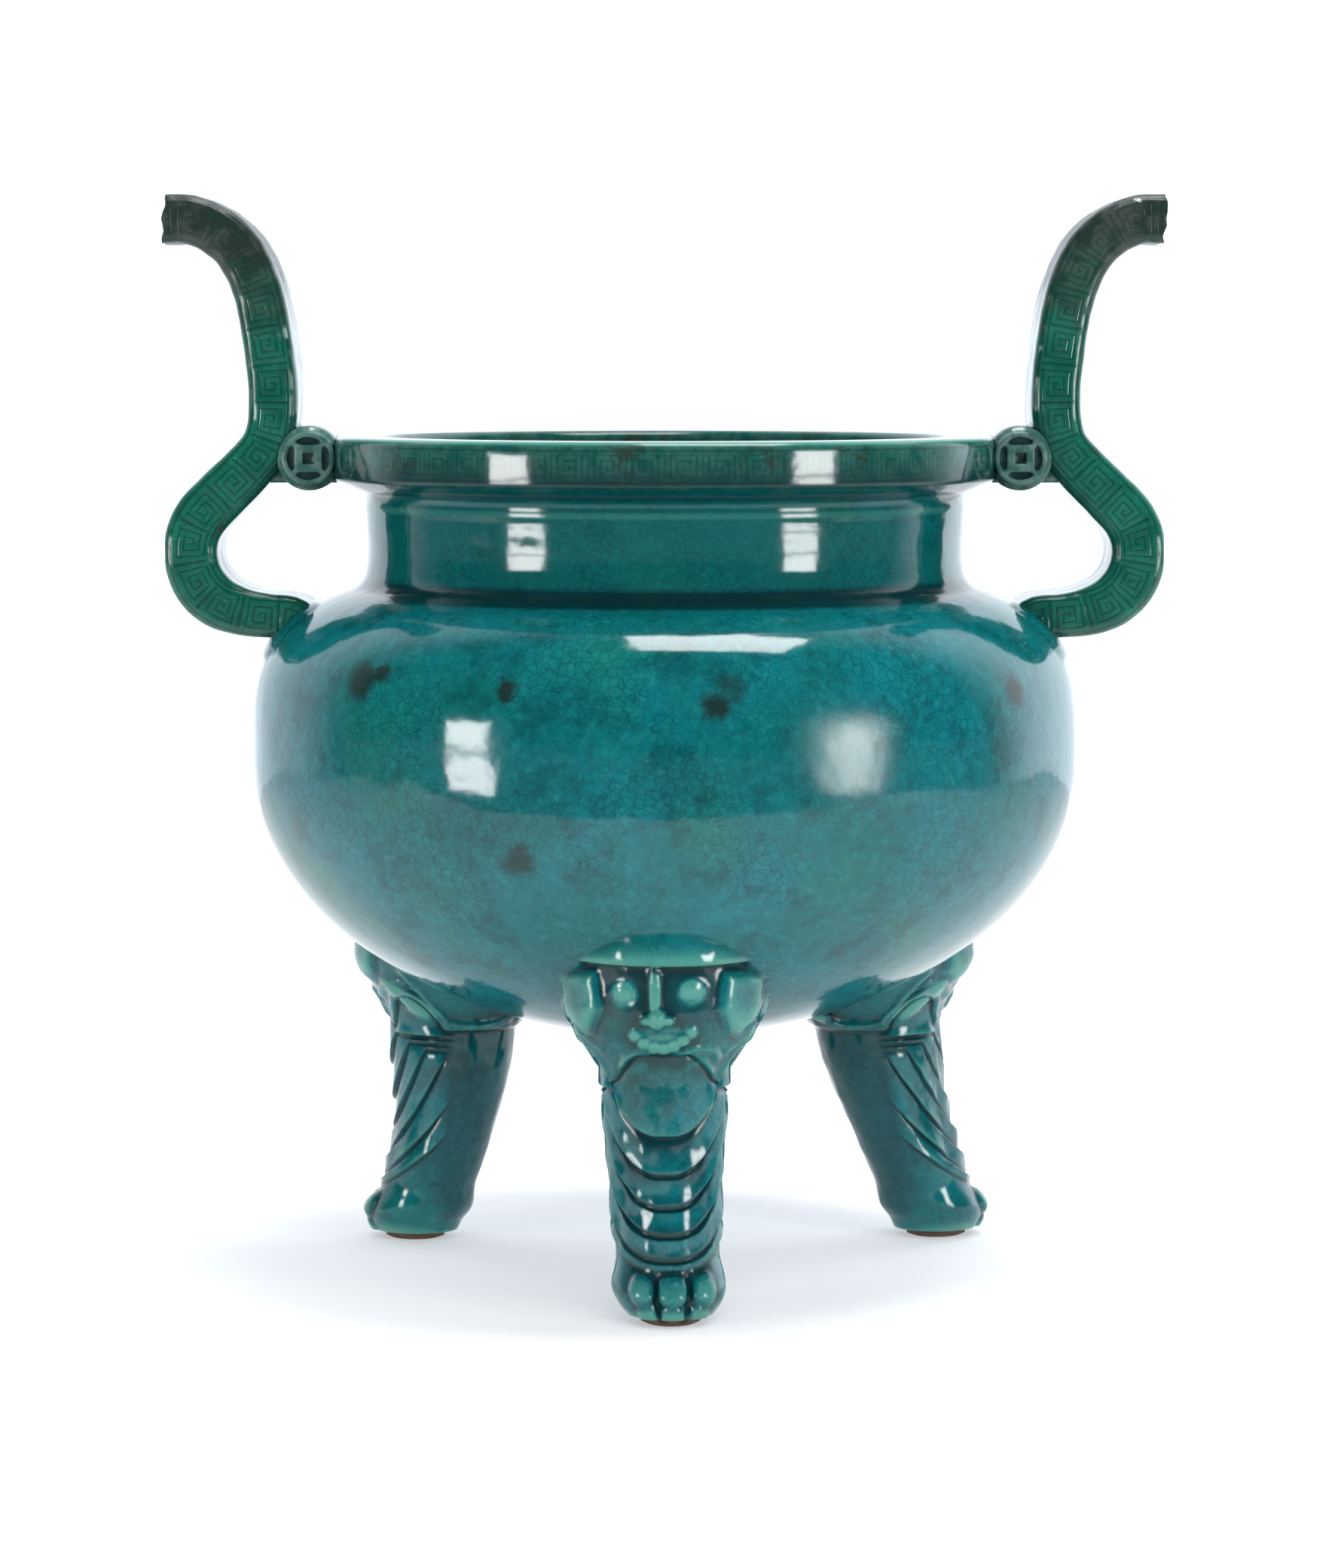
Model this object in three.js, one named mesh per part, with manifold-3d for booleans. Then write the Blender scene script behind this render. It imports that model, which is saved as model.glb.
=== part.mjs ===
// A turquoise-glazed stoneware tripod censer: a round bellied bowl with a straight neck and a thick
// rolled rim, two strap handles of S shape that rise from the shoulder and curl outward above the rim,
// a short strut with a coin-pattern disc at each end between each handle and the rim, and three curved
// legs, each with a lion mask at its top and a paw with three toes at its foot. It was thrown, modelled
// and luted together before one firing, so it is one solid.
//
// Units are millimetres. +Z is up, the origin is on the ground under the bowl's centre, the handles lie
// along X, and one leg points along -Y.
import * as THREE from "three";
import { mergeVertices } from "three/addons/utils/BufferGeometryUtils.js";
import Module from "manifold-3d";

const wasm = await Module();
wasm.setup();

const { degToRad, radToDeg, smoothstep, clamp, lerp } = THREE.MathUtils;

// Bowl
const bellyRadius = 150;
const bellyHeight = 187; // of the widest line above the ground
const bellyDepth = 101; // from the widest line down to the underside
const shoulderRise = 71; // from the widest line up to where the shoulder would close
const shoulderPower = 3.5; // 2 is an ellipse, more is squarer
const wall = 8;

// Neck and rim
const neckRadius = 108.5;
const neckHeight = 32.5;
const rimOverhang = 12.5;
const rimHeight = 15.5;
const rimUnderside = 5.5; // height of the slope below the rim
const rimRound = 3.2;

// Handles
const strapDepth = 44; // along Y
const strapThickness = 17.8;
const loopThickness = 19.4;
const footThickness = 15.5;
const strapChamfer = 3.4;
const handleWaist = 140.7; // distance from the axis of the upright stretch
const loopReach = 170.7;
const tipReach = 180;
const handleRise = 85.5; // from the middle of the strut up to the middle of the tip
const handleFootRadius = 134; // where the strap meets the shoulder
const handleFootSink = 6; // how far the strap's end goes into the wall

// Struts between the handles and the rim
const roundelRadius = 9.7;
const roundelProud = 3.5; // beyond the strap's face
const roundelBite = 3; // how far the strut sinks into the rim
const roundelRecess = 1.4;
const roundelField = 0.78; // radius inside its ring, as a share of its own radius
const roundelSquare = 0.56; // half the side of the square inside the ring
const roundelEye = 0.17; // and of the hole in the square
const blockInset = 3; // of the luted block behind the strap's faces
const blockDrop = 1.2; // and how far it hangs below the rim's edge

// Legs
const legCircle = 91.5; // radius of the circle of the legs' tops
const pawRadius = 20.2;
const ankleRadius = 18.3;
const kneeRadius = 21.6;
const maskRadius = 35;
const foreheadReach = 41; // from the leg's middle line to where its brow meets the bowl
const padRadius = 9.6; // of the bare pad under each foot
const padHeight = 2.6;
const shaftDepth = 1.1; // front to back, as a share of its width
// The legs slumped unevenly in the kiln: how far each foot stands out from the leg's top, how far it
// sways to its left, and how late the leg bends, from the one in front anticlockwise.
const legPoses = [
  { spread: 20.5, sway: 2.2, bow: 2.2 },
  { spread: 28, sway: 0, bow: 1.5 },
  { spread: 18, sway: 0, bow: 2.6 },
];

// Facets
const bowlSides = 36;
const legHalfColumns = 9;
const strapSteps = 20;
const roundelSides = 16;

const cutClearance = 10; // how far a cutting solid runs past what it cuts

// Heights that follow from the sizes above.
const neckFoot = shoulderHeight(neckRadius);
const rimFoot = neckFoot + neckHeight + rimUnderside;
const rimTop = rimFoot + rimHeight;
const rimRadius = neckRadius + rimOverhang;
const strutHeight = rimTop - rimHeight / 2;
const strutReach = rimRadius + roundelRadius - roundelBite;
const legHeight = undersideHeight(legCircle + foreheadReach);

// Height of the outer surface of the shoulder, or of one `inset` inside it, at a radius.
function shoulderHeight(radius, inset = 0) {
  const share = clamp(radius / (bellyRadius - inset), 0, 1);
  const rise = Math.pow(1 - Math.pow(share, shoulderPower), 1 / shoulderPower);
  return bellyHeight + (shoulderRise - inset) * rise;
}

// The same for the lower half of the bowl, which is half an ellipse.
function undersideHeight(radius, inset = 0) {
  const share = clamp(radius / (bellyRadius - inset), 0, 1);
  return bellyHeight - (bellyDepth - inset) * Math.sqrt(1 - share * share);
}

// Points of the bowl's outline from the axis below, round the belly and up to the neck.
function bowlOutline(inset, mouthRadius, lowSteps, highSteps) {
  const points = [];
  for (let i = 0; i <= lowSteps; i++) {
    const angle = (i / lowSteps) * (Math.PI / 2);
    const radius = (bellyRadius - inset) * Math.sin(angle);
    points.push(new THREE.Vector2(radius, undersideHeight(radius, inset)));
  }
  for (let i = 1; i <= highSteps; i++) {
    const angle = (i / highSteps) * (Math.PI / 2);
    const reach = Math.pow(Math.cos(angle), 2 / shoulderPower);
    const radius = Math.max((bellyRadius - inset) * reach, mouthRadius);
    points.push(new THREE.Vector2(radius, shoulderHeight(radius, inset)));
    if (radius === mouthRadius) break;
  }
  return points;
}

// A closed solid from a geometry whose faces point outward.
function solidOf(geometry) {
  const bare = geometry.index ? geometry.toNonIndexed() : geometry;
  bare.deleteAttribute("normal");
  bare.deleteAttribute("uv");
  const merged = mergeVertices(bare, 1e-3);
  return new wasm.Manifold(
    new wasm.Mesh({
      numProp: 3,
      vertProperties: new Float32Array(merged.attributes.position.array),
      triVerts: new Uint32Array(merged.index.array),
    }),
  );
}

// A solid of revolution about Z from an outline that starts and ends on the axis, going up.
function turned(outline) {
  const geometry = new THREE.LatheGeometry(outline, bowlSides);
  return solidOf(geometry.rotateX(Math.PI / 2));
}

// A closed solid through rings that all have the same number of points. Each ring runs
// anticlockwise as seen from beyond the last ring.
function lofted(rings) {
  const count = rings[0].length;
  const vertices = rings.flat();
  const faces = [];
  for (let i = 0; i + 1 < rings.length; i++) {
    for (let j = 0; j < count; j++) {
      const a = i * count + j;
      const b = i * count + ((j + 1) % count);
      faces.push(a, b, b + count, a, b + count, a + count);
    }
  }
  const first = vertices.length;
  const last = first + 1;
  vertices.push(middle(rings[0]), middle(rings.at(-1)));
  const lastRing = (rings.length - 1) * count;
  for (let j = 0; j < count; j++) {
    const next = (j + 1) % count;
    faces.push(first, next, j, last, lastRing + j, lastRing + next);
  }
  const geometry = new THREE.BufferGeometry().setFromPoints(vertices);
  geometry.setIndex(faces);
  return solidOf(geometry);
}

function middle(ring) {
  return ring.reduce((sum, p) => sum.add(p), new THREE.Vector3()).divideScalar(ring.length);
}

function bowl() {
  const outline = bowlOutline(0, neckRadius, 8, 7);
  outline.push(
    new THREE.Vector2(neckRadius, rimFoot - rimUnderside),
    new THREE.Vector2(rimRadius, rimFoot),
  );
  for (const turn of [0, 30, 60, 90]) {
    const angle = degToRad(turn);
    outline.push(
      new THREE.Vector2(
        rimRadius - rimRound * (1 - Math.cos(angle)),
        rimTop - rimRound * (1 - Math.sin(angle)),
      ),
    );
  }
  outline.push(new THREE.Vector2(0, rimTop));
  return turned(outline);
}

function hollow() {
  const bore = neckRadius - wall;
  const outline = bowlOutline(wall, bore, 5, 4);
  outline.push(
    new THREE.Vector2(bore, rimTop - rimRound),
    new THREE.Vector2(bore + rimRound, rimTop),
    new THREE.Vector2(bore + rimRound, rimTop + cutClearance),
    new THREE.Vector2(0, rimTop + cutClearance),
  );
  return turned(outline);
}

// Middle line of a handle in the XZ plane, from inside the shoulder to the tip: out and round the
// loop, back in to the strut, up, and outward again. The shares are of the loop's and the curl's size.
function strapLine() {
  const footHeight = shoulderHeight(handleFootRadius);
  const loopWidth = loopReach - handleWaist;
  const loopHeight = strutHeight - footHeight;
  const curlWidth = tipReach - handleWaist;
  const loop = [
    [0.06, 0.985],
    [0.35, 0.965],
    [0.68, 0.9],
    [0.9, 0.785],
    [1, 0.63],
    [0.985, 0.49],
    [0.88, 0.37],
    [0.63, 0.23],
    [0.3, 0.06],
    [0.08, -0.09],
  ];
  const curl = [
    [0, 0.22],
    [0.045, 0.48],
    [0.16, 0.73],
    [0.33, 0.88],
    [0.56, 0.965],
    [0.78, 1],
    [1, 1],
  ];
  const points = [
    [handleFootRadius - handleFootSink, footHeight - handleFootSink],
    [handleFootRadius, footHeight],
    ...loop.map(([x, z]) => [handleWaist + x * loopWidth, strutHeight - z * loopHeight]),
    ...curl.map(([x, z]) => [handleWaist + x * curlWidth, strutHeight + z * handleRise]),
  ];
  return new THREE.CatmullRomCurve3(points.map(([x, z]) => new THREE.Vector3(x, 0, z)));
}

// The strap is thinnest where it meets the shoulder and thickest round the loop.
function strapThicknessAt(share) {
  const loop = lerp(footThickness, loopThickness, smoothstep(share, 0.05, 0.22));
  return lerp(loop, strapThickness, smoothstep(share, 0.35, 0.55));
}

function strap() {
  const line = strapLine();
  const rings = [];
  for (let i = 0; i <= strapSteps; i++) {
    const share = i / strapSteps;
    const at = line.getPointAt(share);
    const along = line.getTangentAt(share);
    const across = new THREE.Vector3(along.z, 0, -along.x);
    const half = strapThicknessAt(share) / 2;
    const side = strapDepth / 2;
    const corner = [
      [half, side - strapChamfer],
      [half - strapChamfer, side],
      [strapChamfer - half, side],
      [-half, side - strapChamfer],
      [-half, strapChamfer - side],
      [strapChamfer - half, -side],
      [half - strapChamfer, -side],
      [half, strapChamfer - side],
    ];
    rings.push(corner.map(([a, y]) => at.clone().addScaledVector(across, a).setY(y)));
  }
  return lofted(rings);
}

// What a disc's face is sunk by for its coin pattern: four recesses between a ring and a square, and a
// small square hole in the middle. Its deepest plane is z = 0.
function roundelCut() {
  const height = roundelRecess + cutClearance;
  const reach = roundelField * roundelRadius;
  const ring = new THREE.CylinderGeometry(reach, reach, height, roundelSides / 2).rotateX(Math.PI / 2);
  const pattern = solidOf(ring).subtract(squareBar(roundelSquare, height + cutClearance));
  return pattern.add(squareBar(roundelEye, height)).translate([0, 0, height / 2]);
}

function squareBar(share, height) {
  const side = 2 * share * roundelRadius;
  return solidOf(new THREE.BoxGeometry(side, side, height));
}

function strut() {
  const half = strapDepth / 2 + roundelProud;
  const barrel = solidOf(new THREE.CylinderGeometry(roundelRadius, roundelRadius, 2 * half, roundelSides));
  const blockLength = handleWaist - rimRadius + 2 * roundelBite;
  const blockHeight = rimHeight - rimRound + blockDrop;
  const block = solidOf(
    new THREE.BoxGeometry(blockLength, strapDepth - 2 * blockInset, blockHeight).translate(
      rimRadius - roundelBite + blockLength / 2 - strutReach,
      0,
      (blockHeight - rimHeight) / 2 - blockDrop,
    ),
  );
  const cut = roundelCut();
  const front = cut.rotate([90, 0, 0]).translate([0, -(half - roundelRecess), 0]);
  const back = cut.rotate([-90, 0, 0]).translate([0, half - roundelRecess, 0]);
  return barrel.subtract(front).subtract(back).add(block).translate([strutReach, 0, strutHeight]);
}

// Proportions of a leg. Levels are shares of its height, from the sole up, reliefs are shares of the
// mask's radius, and turns are degrees round the leg from its front.
const ankleLevel = 0.138;
const collarLevel = 0.59; // lower edge of the mane, at the sides and the back
const chinLevel = 0.675;
const browLevel = 0.885;
const lipLevel = 0.006; // half the height of the step at a carved edge
const maskRelief = 0.048;
const foldRelief = 0.042;
const browRelief = 0.04;
const pawLevel = 0.09; // where the paw is widest
const ankleTop = 0.16; // where it has narrowed to the ankle
const calfLevel = 0.3; // from which on the shaft widens
const kneeLevel = 0.62; // as far as this, where the leg also stops bending
const maskFoot = 0.6; // from which on it widens to the mask
const maskTop = 0.79; // as far as this
const roundLevel = 0.8; // from which on it is no deeper than wide
const crownLevel = 0.9; // from which on its top draws in
const crownTaper = 0.07;
const foreheadRelief = 0.17; // of the brow's middle, which bulges forward
const socketRelief = 0.07;
const folds = [
  { level: 0.138, end: 165 },
  { level: 0.18, end: 140 },
  { level: 0.245, end: 113 },
  { level: 0.317, end: 93 },
  { level: 0.372, end: 75 },
  { level: 0.46, end: 54 },
];
const foldFront = 6; // the folds run level as far as this turn
const foldGap = 0.017; // least distance between two folds, where they gather under the mane
const foldFade = [100, 122]; // turns between which the folds sink into the smooth back
const backTurn = 150; // from which on they are evenly spaced
const foldSweep = 2.2; // how late they turn up, 1 is straight
const archTurn = 83;
const archWidth = 28;
const archRise = 0.1;
const jawTurns = [14, 60]; // between which the mane's edge drops from the chin to the collar
const socketTurn = 20;
const socketWidth = 12;
const socketLevel = 0.8;
const socketHeight = 0.06;
const beardCurls = 5;
const beardSpan = 44; // turn from the first curl to the last
const beardLevel = 0.705; // of the curl in the middle
const beardArch = 0.09; // and how the others rise
const toeTurns = [-36, 0, 36];
const columnCrowding = 1.25; // 1 spaces a leg's columns evenly

// Angles of a leg's columns, closer together on its front.
const legAngles = [];
for (let i = 1 - legHalfColumns; i <= legHalfColumns; i++) {
  legAngles.push(Math.sign(i) * Math.PI * Math.pow(Math.abs(i) / legHalfColumns, columnCrowding));
}

// Radius of a leg without its carving, at a share of its height.
function shaftRadius(share) {
  const paw = lerp(padRadius + padHeight, pawRadius, Math.sqrt(smoothstep(share, 0, pawLevel)));
  const ankle = lerp(paw, ankleRadius, smoothstep(share, pawLevel, ankleTop));
  const shaft = lerp(ankle, kneeRadius, smoothstep(share, calfLevel, kneeLevel));
  const mask = lerp(shaft, maskRadius * (1 - maskRelief), smoothstep(share, maskFoot, maskTop));
  return mask - crownTaper * maskRadius * smoothstep(share, crownLevel, 1);
}

// A point at a level, turned round the leg's middle line by an angle, at a radius from it. The middle
// line bends outward below the knee, and the shaft is deeper than it is wide.
function legPoint(pose, share, angle, radius) {
  const bend = Math.pow(clamp(1 - share / kneeLevel, 0, 1), pose.bow);
  const depth = lerp(shaftDepth, 1, smoothstep(share, kneeLevel, roundLevel));
  return new THREE.Vector3(
    pose.sway * bend + radius * Math.sin(angle),
    -legCircle - pose.spread * bend - depth * radius * Math.cos(angle),
    share * legHeight,
  );
}

// Level of the mane's lower edge: under the chin, down to the collar, and over an arch on each side.
function maneLevel(turn) {
  const edge = lerp(chinLevel, collarLevel, smoothstep(turn, ...jawTurns));
  const arch = Math.cos(clamp((turn - archTurn) / archWidth, -1, 1) * (Math.PI / 2));
  return edge + archRise * arch;
}

// Level of a fold's lower edge: level across the front, then sweeping up both sides to the mane. On the
// smooth back the edges drift apart again, evenly spaced.
function foldLevel(index, turn) {
  const { level, end } = folds[index];
  const gathered = collarLevel - foldGap * (folds.length - index);
  const sweep = Math.pow(clamp((turn - foldFront) / (end - foldFront), 0, 1), foldSweep);
  const spaced = lerp(ankleLevel, gathered, index / (folds.length - 1));
  return lerp(lerp(level, gathered, sweep), spaced, smoothstep(turn, foldFade[1], backTurn));
}

// Eye sockets, sunk into the mask on both sides of the nose.
function socketDepth(turn, share) {
  const across = (turn - socketTurn) / socketWidth;
  const up = (share - socketLevel) / socketHeight;
  return socketRelief * Math.exp(-across * across - up * up);
}

// Rings of a leg from its sole to its top. A ring's level and relief depend on the turn.
function legRings(pose) {
  const rings = [];
  const addRing = (level, relief = () => 0, shrink = 1) => {
    rings.push(
      legAngles.map((angle) => {
        const turn = radToDeg(Math.abs(angle));
        const share = level(turn);
        const radius = shrink * (shaftRadius(share) + relief(turn, share) * maskRadius);
        return legPoint(pose, share, angle, radius);
      }),
    );
  };
  const padTop = padHeight / legHeight;
  addRing(() => 0, () => 0, padRadius / shaftRadius(0));
  addRing(() => padTop, () => 0, padRadius / shaftRadius(padTop));
  addRing(() => padTop + lipLevel);
  for (const level of [pawLevel / 2, pawLevel]) addRing(() => level);
  folds.forEach((fold, i) => {
    addRing((turn) => foldLevel(i, turn) - lipLevel);
    addRing(
      (turn) => foldLevel(i, turn) + lipLevel,
      (turn) => foldRelief * (1 - smoothstep(turn, ...foldFade)),
    );
  });
  addRing((turn) => maneLevel(turn) - lipLevel);
  const maskSteps = 3;
  for (let i = 0; i <= maskSteps; i++) {
    addRing(
      (turn) => lerp(maneLevel(turn) + lipLevel, browLevel - lipLevel, i / maskSteps),
      (turn, share) => maskRelief - socketDepth(turn, share),
    );
  }
  for (const level of [browLevel + lipLevel, (browLevel + 1) / 2, 1]) {
    addRing(
      () => level,
      (turn) => maskRelief + browRelief + foreheadRelief * Math.max(0, Math.cos(degToRad(turn))) ** 2,
    );
  }
  return rings;
}

// An oval swelling on a leg. Its half width, half height and relief are shares of the mask's radius, and
// `lean` tips its top towards the front.
function swelling(pose, turn, level, halfWidth, halfHeight, relief, lean = 0) {
  const angle = degToRad(turn);
  const radius = shaftRadius(level) + (level > chinLevel ? maskRelief * maskRadius : 0);
  const geometry = new THREE.SphereGeometry(maskRadius, 6, 4);
  geometry.scale(halfWidth, halfHeight, relief);
  geometry.rotateZ(degToRad(lean) * Math.sign(turn));
  geometry.rotateX(Math.PI / 2);
  geometry.rotateZ(angle);
  geometry.translate(...legPoint(pose, level, angle, radius));
  return solidOf(geometry);
}

// Lion mask, mane and paw: every oval that stands out from the leg's surface.
function legSwellings(pose) {
  const ovals = [
    [0, 0.815, 0.11, 0.26, 0.1], // bridge of the nose
    [0, 0.768, 0.17, 0.12, 0.16], // tip of the nose
    [180, 0.645, 0.15, 0.13, 0.2], // where the mane's two halves meet at the back
  ];
  for (const side of [-1, 1]) {
    ovals.push(
      [side * 21, 0.83, 0.14, 0.14, 0.13], // eye
      [side * 52, 0.8, 0.38, 0.29, 0.08], // cheek
      [side * 85, 0.665, 0.19, 0.27, 0.08], // tuft under the arch
      [side * 67, 0.735, 0.07, 0.4, 0.07, -54], // lock over the arch, forward
      [side * 100, 0.71, 0.07, 0.42, 0.09, 27], // and back
    );
  }
  for (let i = 0; i < beardCurls; i++) {
    const share = i / (beardCurls - 1) - 0.5;
    ovals.push([share * beardSpan, beardLevel + beardArch * share * share, 0.1, 0.1, 0.09]);
  }
  for (const turn of toeTurns) ovals.push([turn, 0.088, 0.15, 0.2, 0.17]);
  return ovals.map((oval) => swelling(pose, ...oval));
}

// A leg that points along -Y. Its top is closed inside the wall of the bowl.
function leg(pose) {
  const shaft = lofted(legRings(pose));
  return legSwellings(pose).reduce((solid, oval) => solid.add(oval), shaft);
}

function censer() {
  let body = bowl();
  legPoses.forEach((pose, i) => {
    body = body.add(leg(pose).rotate([0, 0, (360 / legPoses.length) * i]));
  });
  for (const turn of [0, 180]) {
    body = body.add(strap().add(strut()).rotate([0, 0, turn]));
  }
  return body.subtract(hollow());
}

function meshOf(name, solid, material) {
  const { vertProperties, triVerts } = solid.getMesh();
  const geometry = new THREE.BufferGeometry();
  geometry.setAttribute("position", new THREE.BufferAttribute(vertProperties, 3));
  geometry.setIndex(new THREE.BufferAttribute(triVerts, 1));
  geometry.computeVertexNormals();
  const mesh = new THREE.Mesh(geometry, material);
  mesh.name = name;
  return mesh;
}

const glaze = new THREE.MeshStandardMaterial({ color: 0x13706c, roughness: 0.16, metalness: 0 });
const group = new THREE.Group();
group.add(meshOf("censer", censer(), glaze));

export default group;
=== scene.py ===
"""A turquoise-glazed stoneware tripod censer: thrown bowl, lion-mask legs and S-shaped strap handles.

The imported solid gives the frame. One smooth, finely carved mesh stands for it here, glazed with a
procedural material. Lengths are in millimetres until a mesh is made, with the origin on the ground under
the bowl, +Z up, the handles along X and one leg towards -Y.
"""

import math

import bpy
import numpy as np
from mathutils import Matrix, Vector
from mathutils.kdtree import KDTree


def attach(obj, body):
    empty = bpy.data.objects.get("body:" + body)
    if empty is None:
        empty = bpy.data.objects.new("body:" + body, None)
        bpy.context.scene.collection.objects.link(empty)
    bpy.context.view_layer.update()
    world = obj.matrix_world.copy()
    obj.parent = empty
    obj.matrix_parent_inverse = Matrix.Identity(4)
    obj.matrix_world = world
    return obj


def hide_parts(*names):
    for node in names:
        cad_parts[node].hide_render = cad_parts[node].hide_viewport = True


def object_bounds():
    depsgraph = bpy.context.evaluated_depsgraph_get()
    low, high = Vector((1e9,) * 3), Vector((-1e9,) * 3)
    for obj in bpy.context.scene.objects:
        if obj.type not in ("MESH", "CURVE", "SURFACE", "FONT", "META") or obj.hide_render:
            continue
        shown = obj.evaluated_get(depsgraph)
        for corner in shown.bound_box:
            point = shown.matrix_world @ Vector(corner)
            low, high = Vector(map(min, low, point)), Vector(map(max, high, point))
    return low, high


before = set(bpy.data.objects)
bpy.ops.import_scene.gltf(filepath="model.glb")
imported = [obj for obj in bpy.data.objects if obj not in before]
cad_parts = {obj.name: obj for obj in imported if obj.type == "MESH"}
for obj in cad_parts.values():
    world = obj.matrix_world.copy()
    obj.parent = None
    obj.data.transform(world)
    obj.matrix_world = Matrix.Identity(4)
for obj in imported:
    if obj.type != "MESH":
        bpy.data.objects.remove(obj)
cad_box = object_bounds()
MM = 0.001

# Bowl
BELLY_RADIUS = 150
BELLY_HEIGHT = 187
BELLY_DEPTH = 101
SHOULDER_RISE = 71
SHOULDER_POWER = 3.5
WALL = 8
INNER_CORNER = 5

# Neck and rim
NECK_RADIUS = 108.5
NECK_HEIGHT = 32.5
NECK_WAVE = 0.25
NECK_WAIST_SHARE = 0.27
FILLET_HEIGHT = 278.5
FILLET_RELIEF = 0.5
FILLET_WIDTH = 1.6
NECK_FOOT_ROUND = 9
NECK_TOP_ROUND = 4
RIM_OVERHANG = 12.5
RIM_HEIGHT = 15.5
RIM_UNDERSIDE = 5.5
RIM_ROUND = 3.2
LIP_ROUND = 1.6
CROWN_RADII = (112, 106, 98, 0)

# Handles and struts
STRAP_DEPTH = 44
STRAP_THICKNESS = 17.8
LOOP_THICKNESS = 19.4
FOOT_THICKNESS = 15.5
STRAP_ROUND = 4
HANDLE_WAIST = 140.7
LOOP_REACH = 170.7
TIP_REACH = 180
HANDLE_RISE = 85.5
HANDLE_FOOT_RADIUS = 134
HANDLE_FOOT_SINK = 6
ROUNDEL_RADIUS = 9.7
ROUNDEL_PROUD = 3.5
ROUNDEL_BITE = 3
ROUNDEL_RECESS = 1.3
BLOCK_INSET = 3
BLOCK_DROP = 1.2
BLOCK_ROUND = 2
STRAP_WEAR = 0.16
TIP_WEAR = 0.2
HIGHEST_DENT = 0.12
DEEPEST_CHIP = 2.4

# Clay that was smeared round a handle's foot
SMEAR_FOOT = 222
SMEAR_REACH = 125
SMEAR_HALF_TURN = 13
SMEAR_SWELL = 2
SMEAR_DIP = 2.5
SMEAR_SINK = 4.5

# Legs. Levels are shares of a leg's height, and turns are degrees round it from its front.
LEG_CIRCLE = 91.5
PAW_RADIUS = 20.2
ANKLE_RADIUS = 18.3
KNEE_RADIUS = 21.6
MASK_RADIUS = 35
FOREHEAD_REACH = 41
PAD_RADIUS = 9.6
PAD_HEIGHT = 2.6
PAD_CHAMFER = 1
SHAFT_DEPTH = 1.1
LEG_POSES = [(20.5, 2.2, 2.2), (28, 0, 1.5), (18, 0, 2.6)]
MASK_RELIEF = 1.5
FOLD_RELIEF = 0.55
FACET_TILT = 8.5
LOWEST_FACET = -1.3
HIGHEST_FACET = 1.9
BROW_RELIEF = 1.4
FOREHEAD_RELIEF = 5
EYE_RELIEF = 3.7
IRIS_DEPTH = 0.4
TOE_GAP_DEPTH = 1.4
TOE_GAP_WIDTH = 3.2
SLIMMING = 4.5
PAW_LEVEL = 0.09
ANKLE_TOP = 0.16
CALF_LEVEL = 0.3
KNEE_LEVEL = 0.62
MASK_FOOT = 0.6
MASK_TOP = 0.79
ROUND_LEVEL = 0.8
CROWN_LEVEL = 0.9
CROWN_TAPER = 0.07
ANKLE_LEVEL = 0.138
COLLAR_LEVEL = 0.59
CHIN_LEVEL = 0.675
BROW_LEVEL = 0.9
LIP_LEVEL = 0.005
FOLD_FRONT = 6
FOLD_GAP = 0.017
FOLD_SWEEP = 2.2
FADE_START = 100
FADE_END = 122
BACK_TURN = 150
ARCH_TURN = 83
ARCH_WIDTH = 28
ARCH_RISE = 0.1

# Mesh resolution
BOWL_SIDES = 144
BOWL_STEP = 4.5
HOLLOW_STEP = 5
NECK_STEP = 1.4
SMEAR_STEP = 1.5
SMEAR_COLUMNS = 31
LEG_HALF_COLUMNS = 78
COLUMN_CROWDING = 1.15
PAW_ROWS = 19
MASK_ROWS = 46
BROW_ROWS = 12
STRAP_STEPS = 110
SPLINE_STEPS = 20
SHARP_ANGLE = 48
ROUNDEL_SIDES = 64


def smooth(value, low, high):
    share = np.clip((value - low) / (high - low), 0, 1)
    return share * share * (3 - 2 * share)


def lerp(low, high, share):
    return low + (high - low) * share


def hump(*ratios, power=2):
    """1 where every ratio is 0, falling softly towards 0 beyond a ratio of 1. The power is even."""
    return np.exp(-sum(ratio**power for ratio in ratios))


def ripple(points, wavelength, seed):
    """Smooth noise between about -1 and 1 at points, from waves in a few directions."""
    rng = np.random.default_rng(seed)
    total = np.zeros(points.shape[:-1])
    waves = 9
    for _ in range(waves):
        direction = rng.normal(size=3)
        direction *= 2 * math.pi / (wavelength * rng.uniform(0.7, 1.5) * np.linalg.norm(direction))
        total += np.sin(points @ direction + rng.uniform(0, 2 * math.pi))
    return total / math.sqrt(waves)


def shoulder_height(radius, inset=0):
    share = np.clip(radius / (BELLY_RADIUS - inset), 0, 1)
    rise = (1 - share**SHOULDER_POWER) ** (1 / SHOULDER_POWER)
    return BELLY_HEIGHT + (SHOULDER_RISE - inset) * rise


def underside_height(radius, inset=0):
    share = np.clip(radius / (BELLY_RADIUS - inset), 0, 1)
    return BELLY_HEIGHT - (BELLY_DEPTH - inset) * np.sqrt(1 - share * share)


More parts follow.
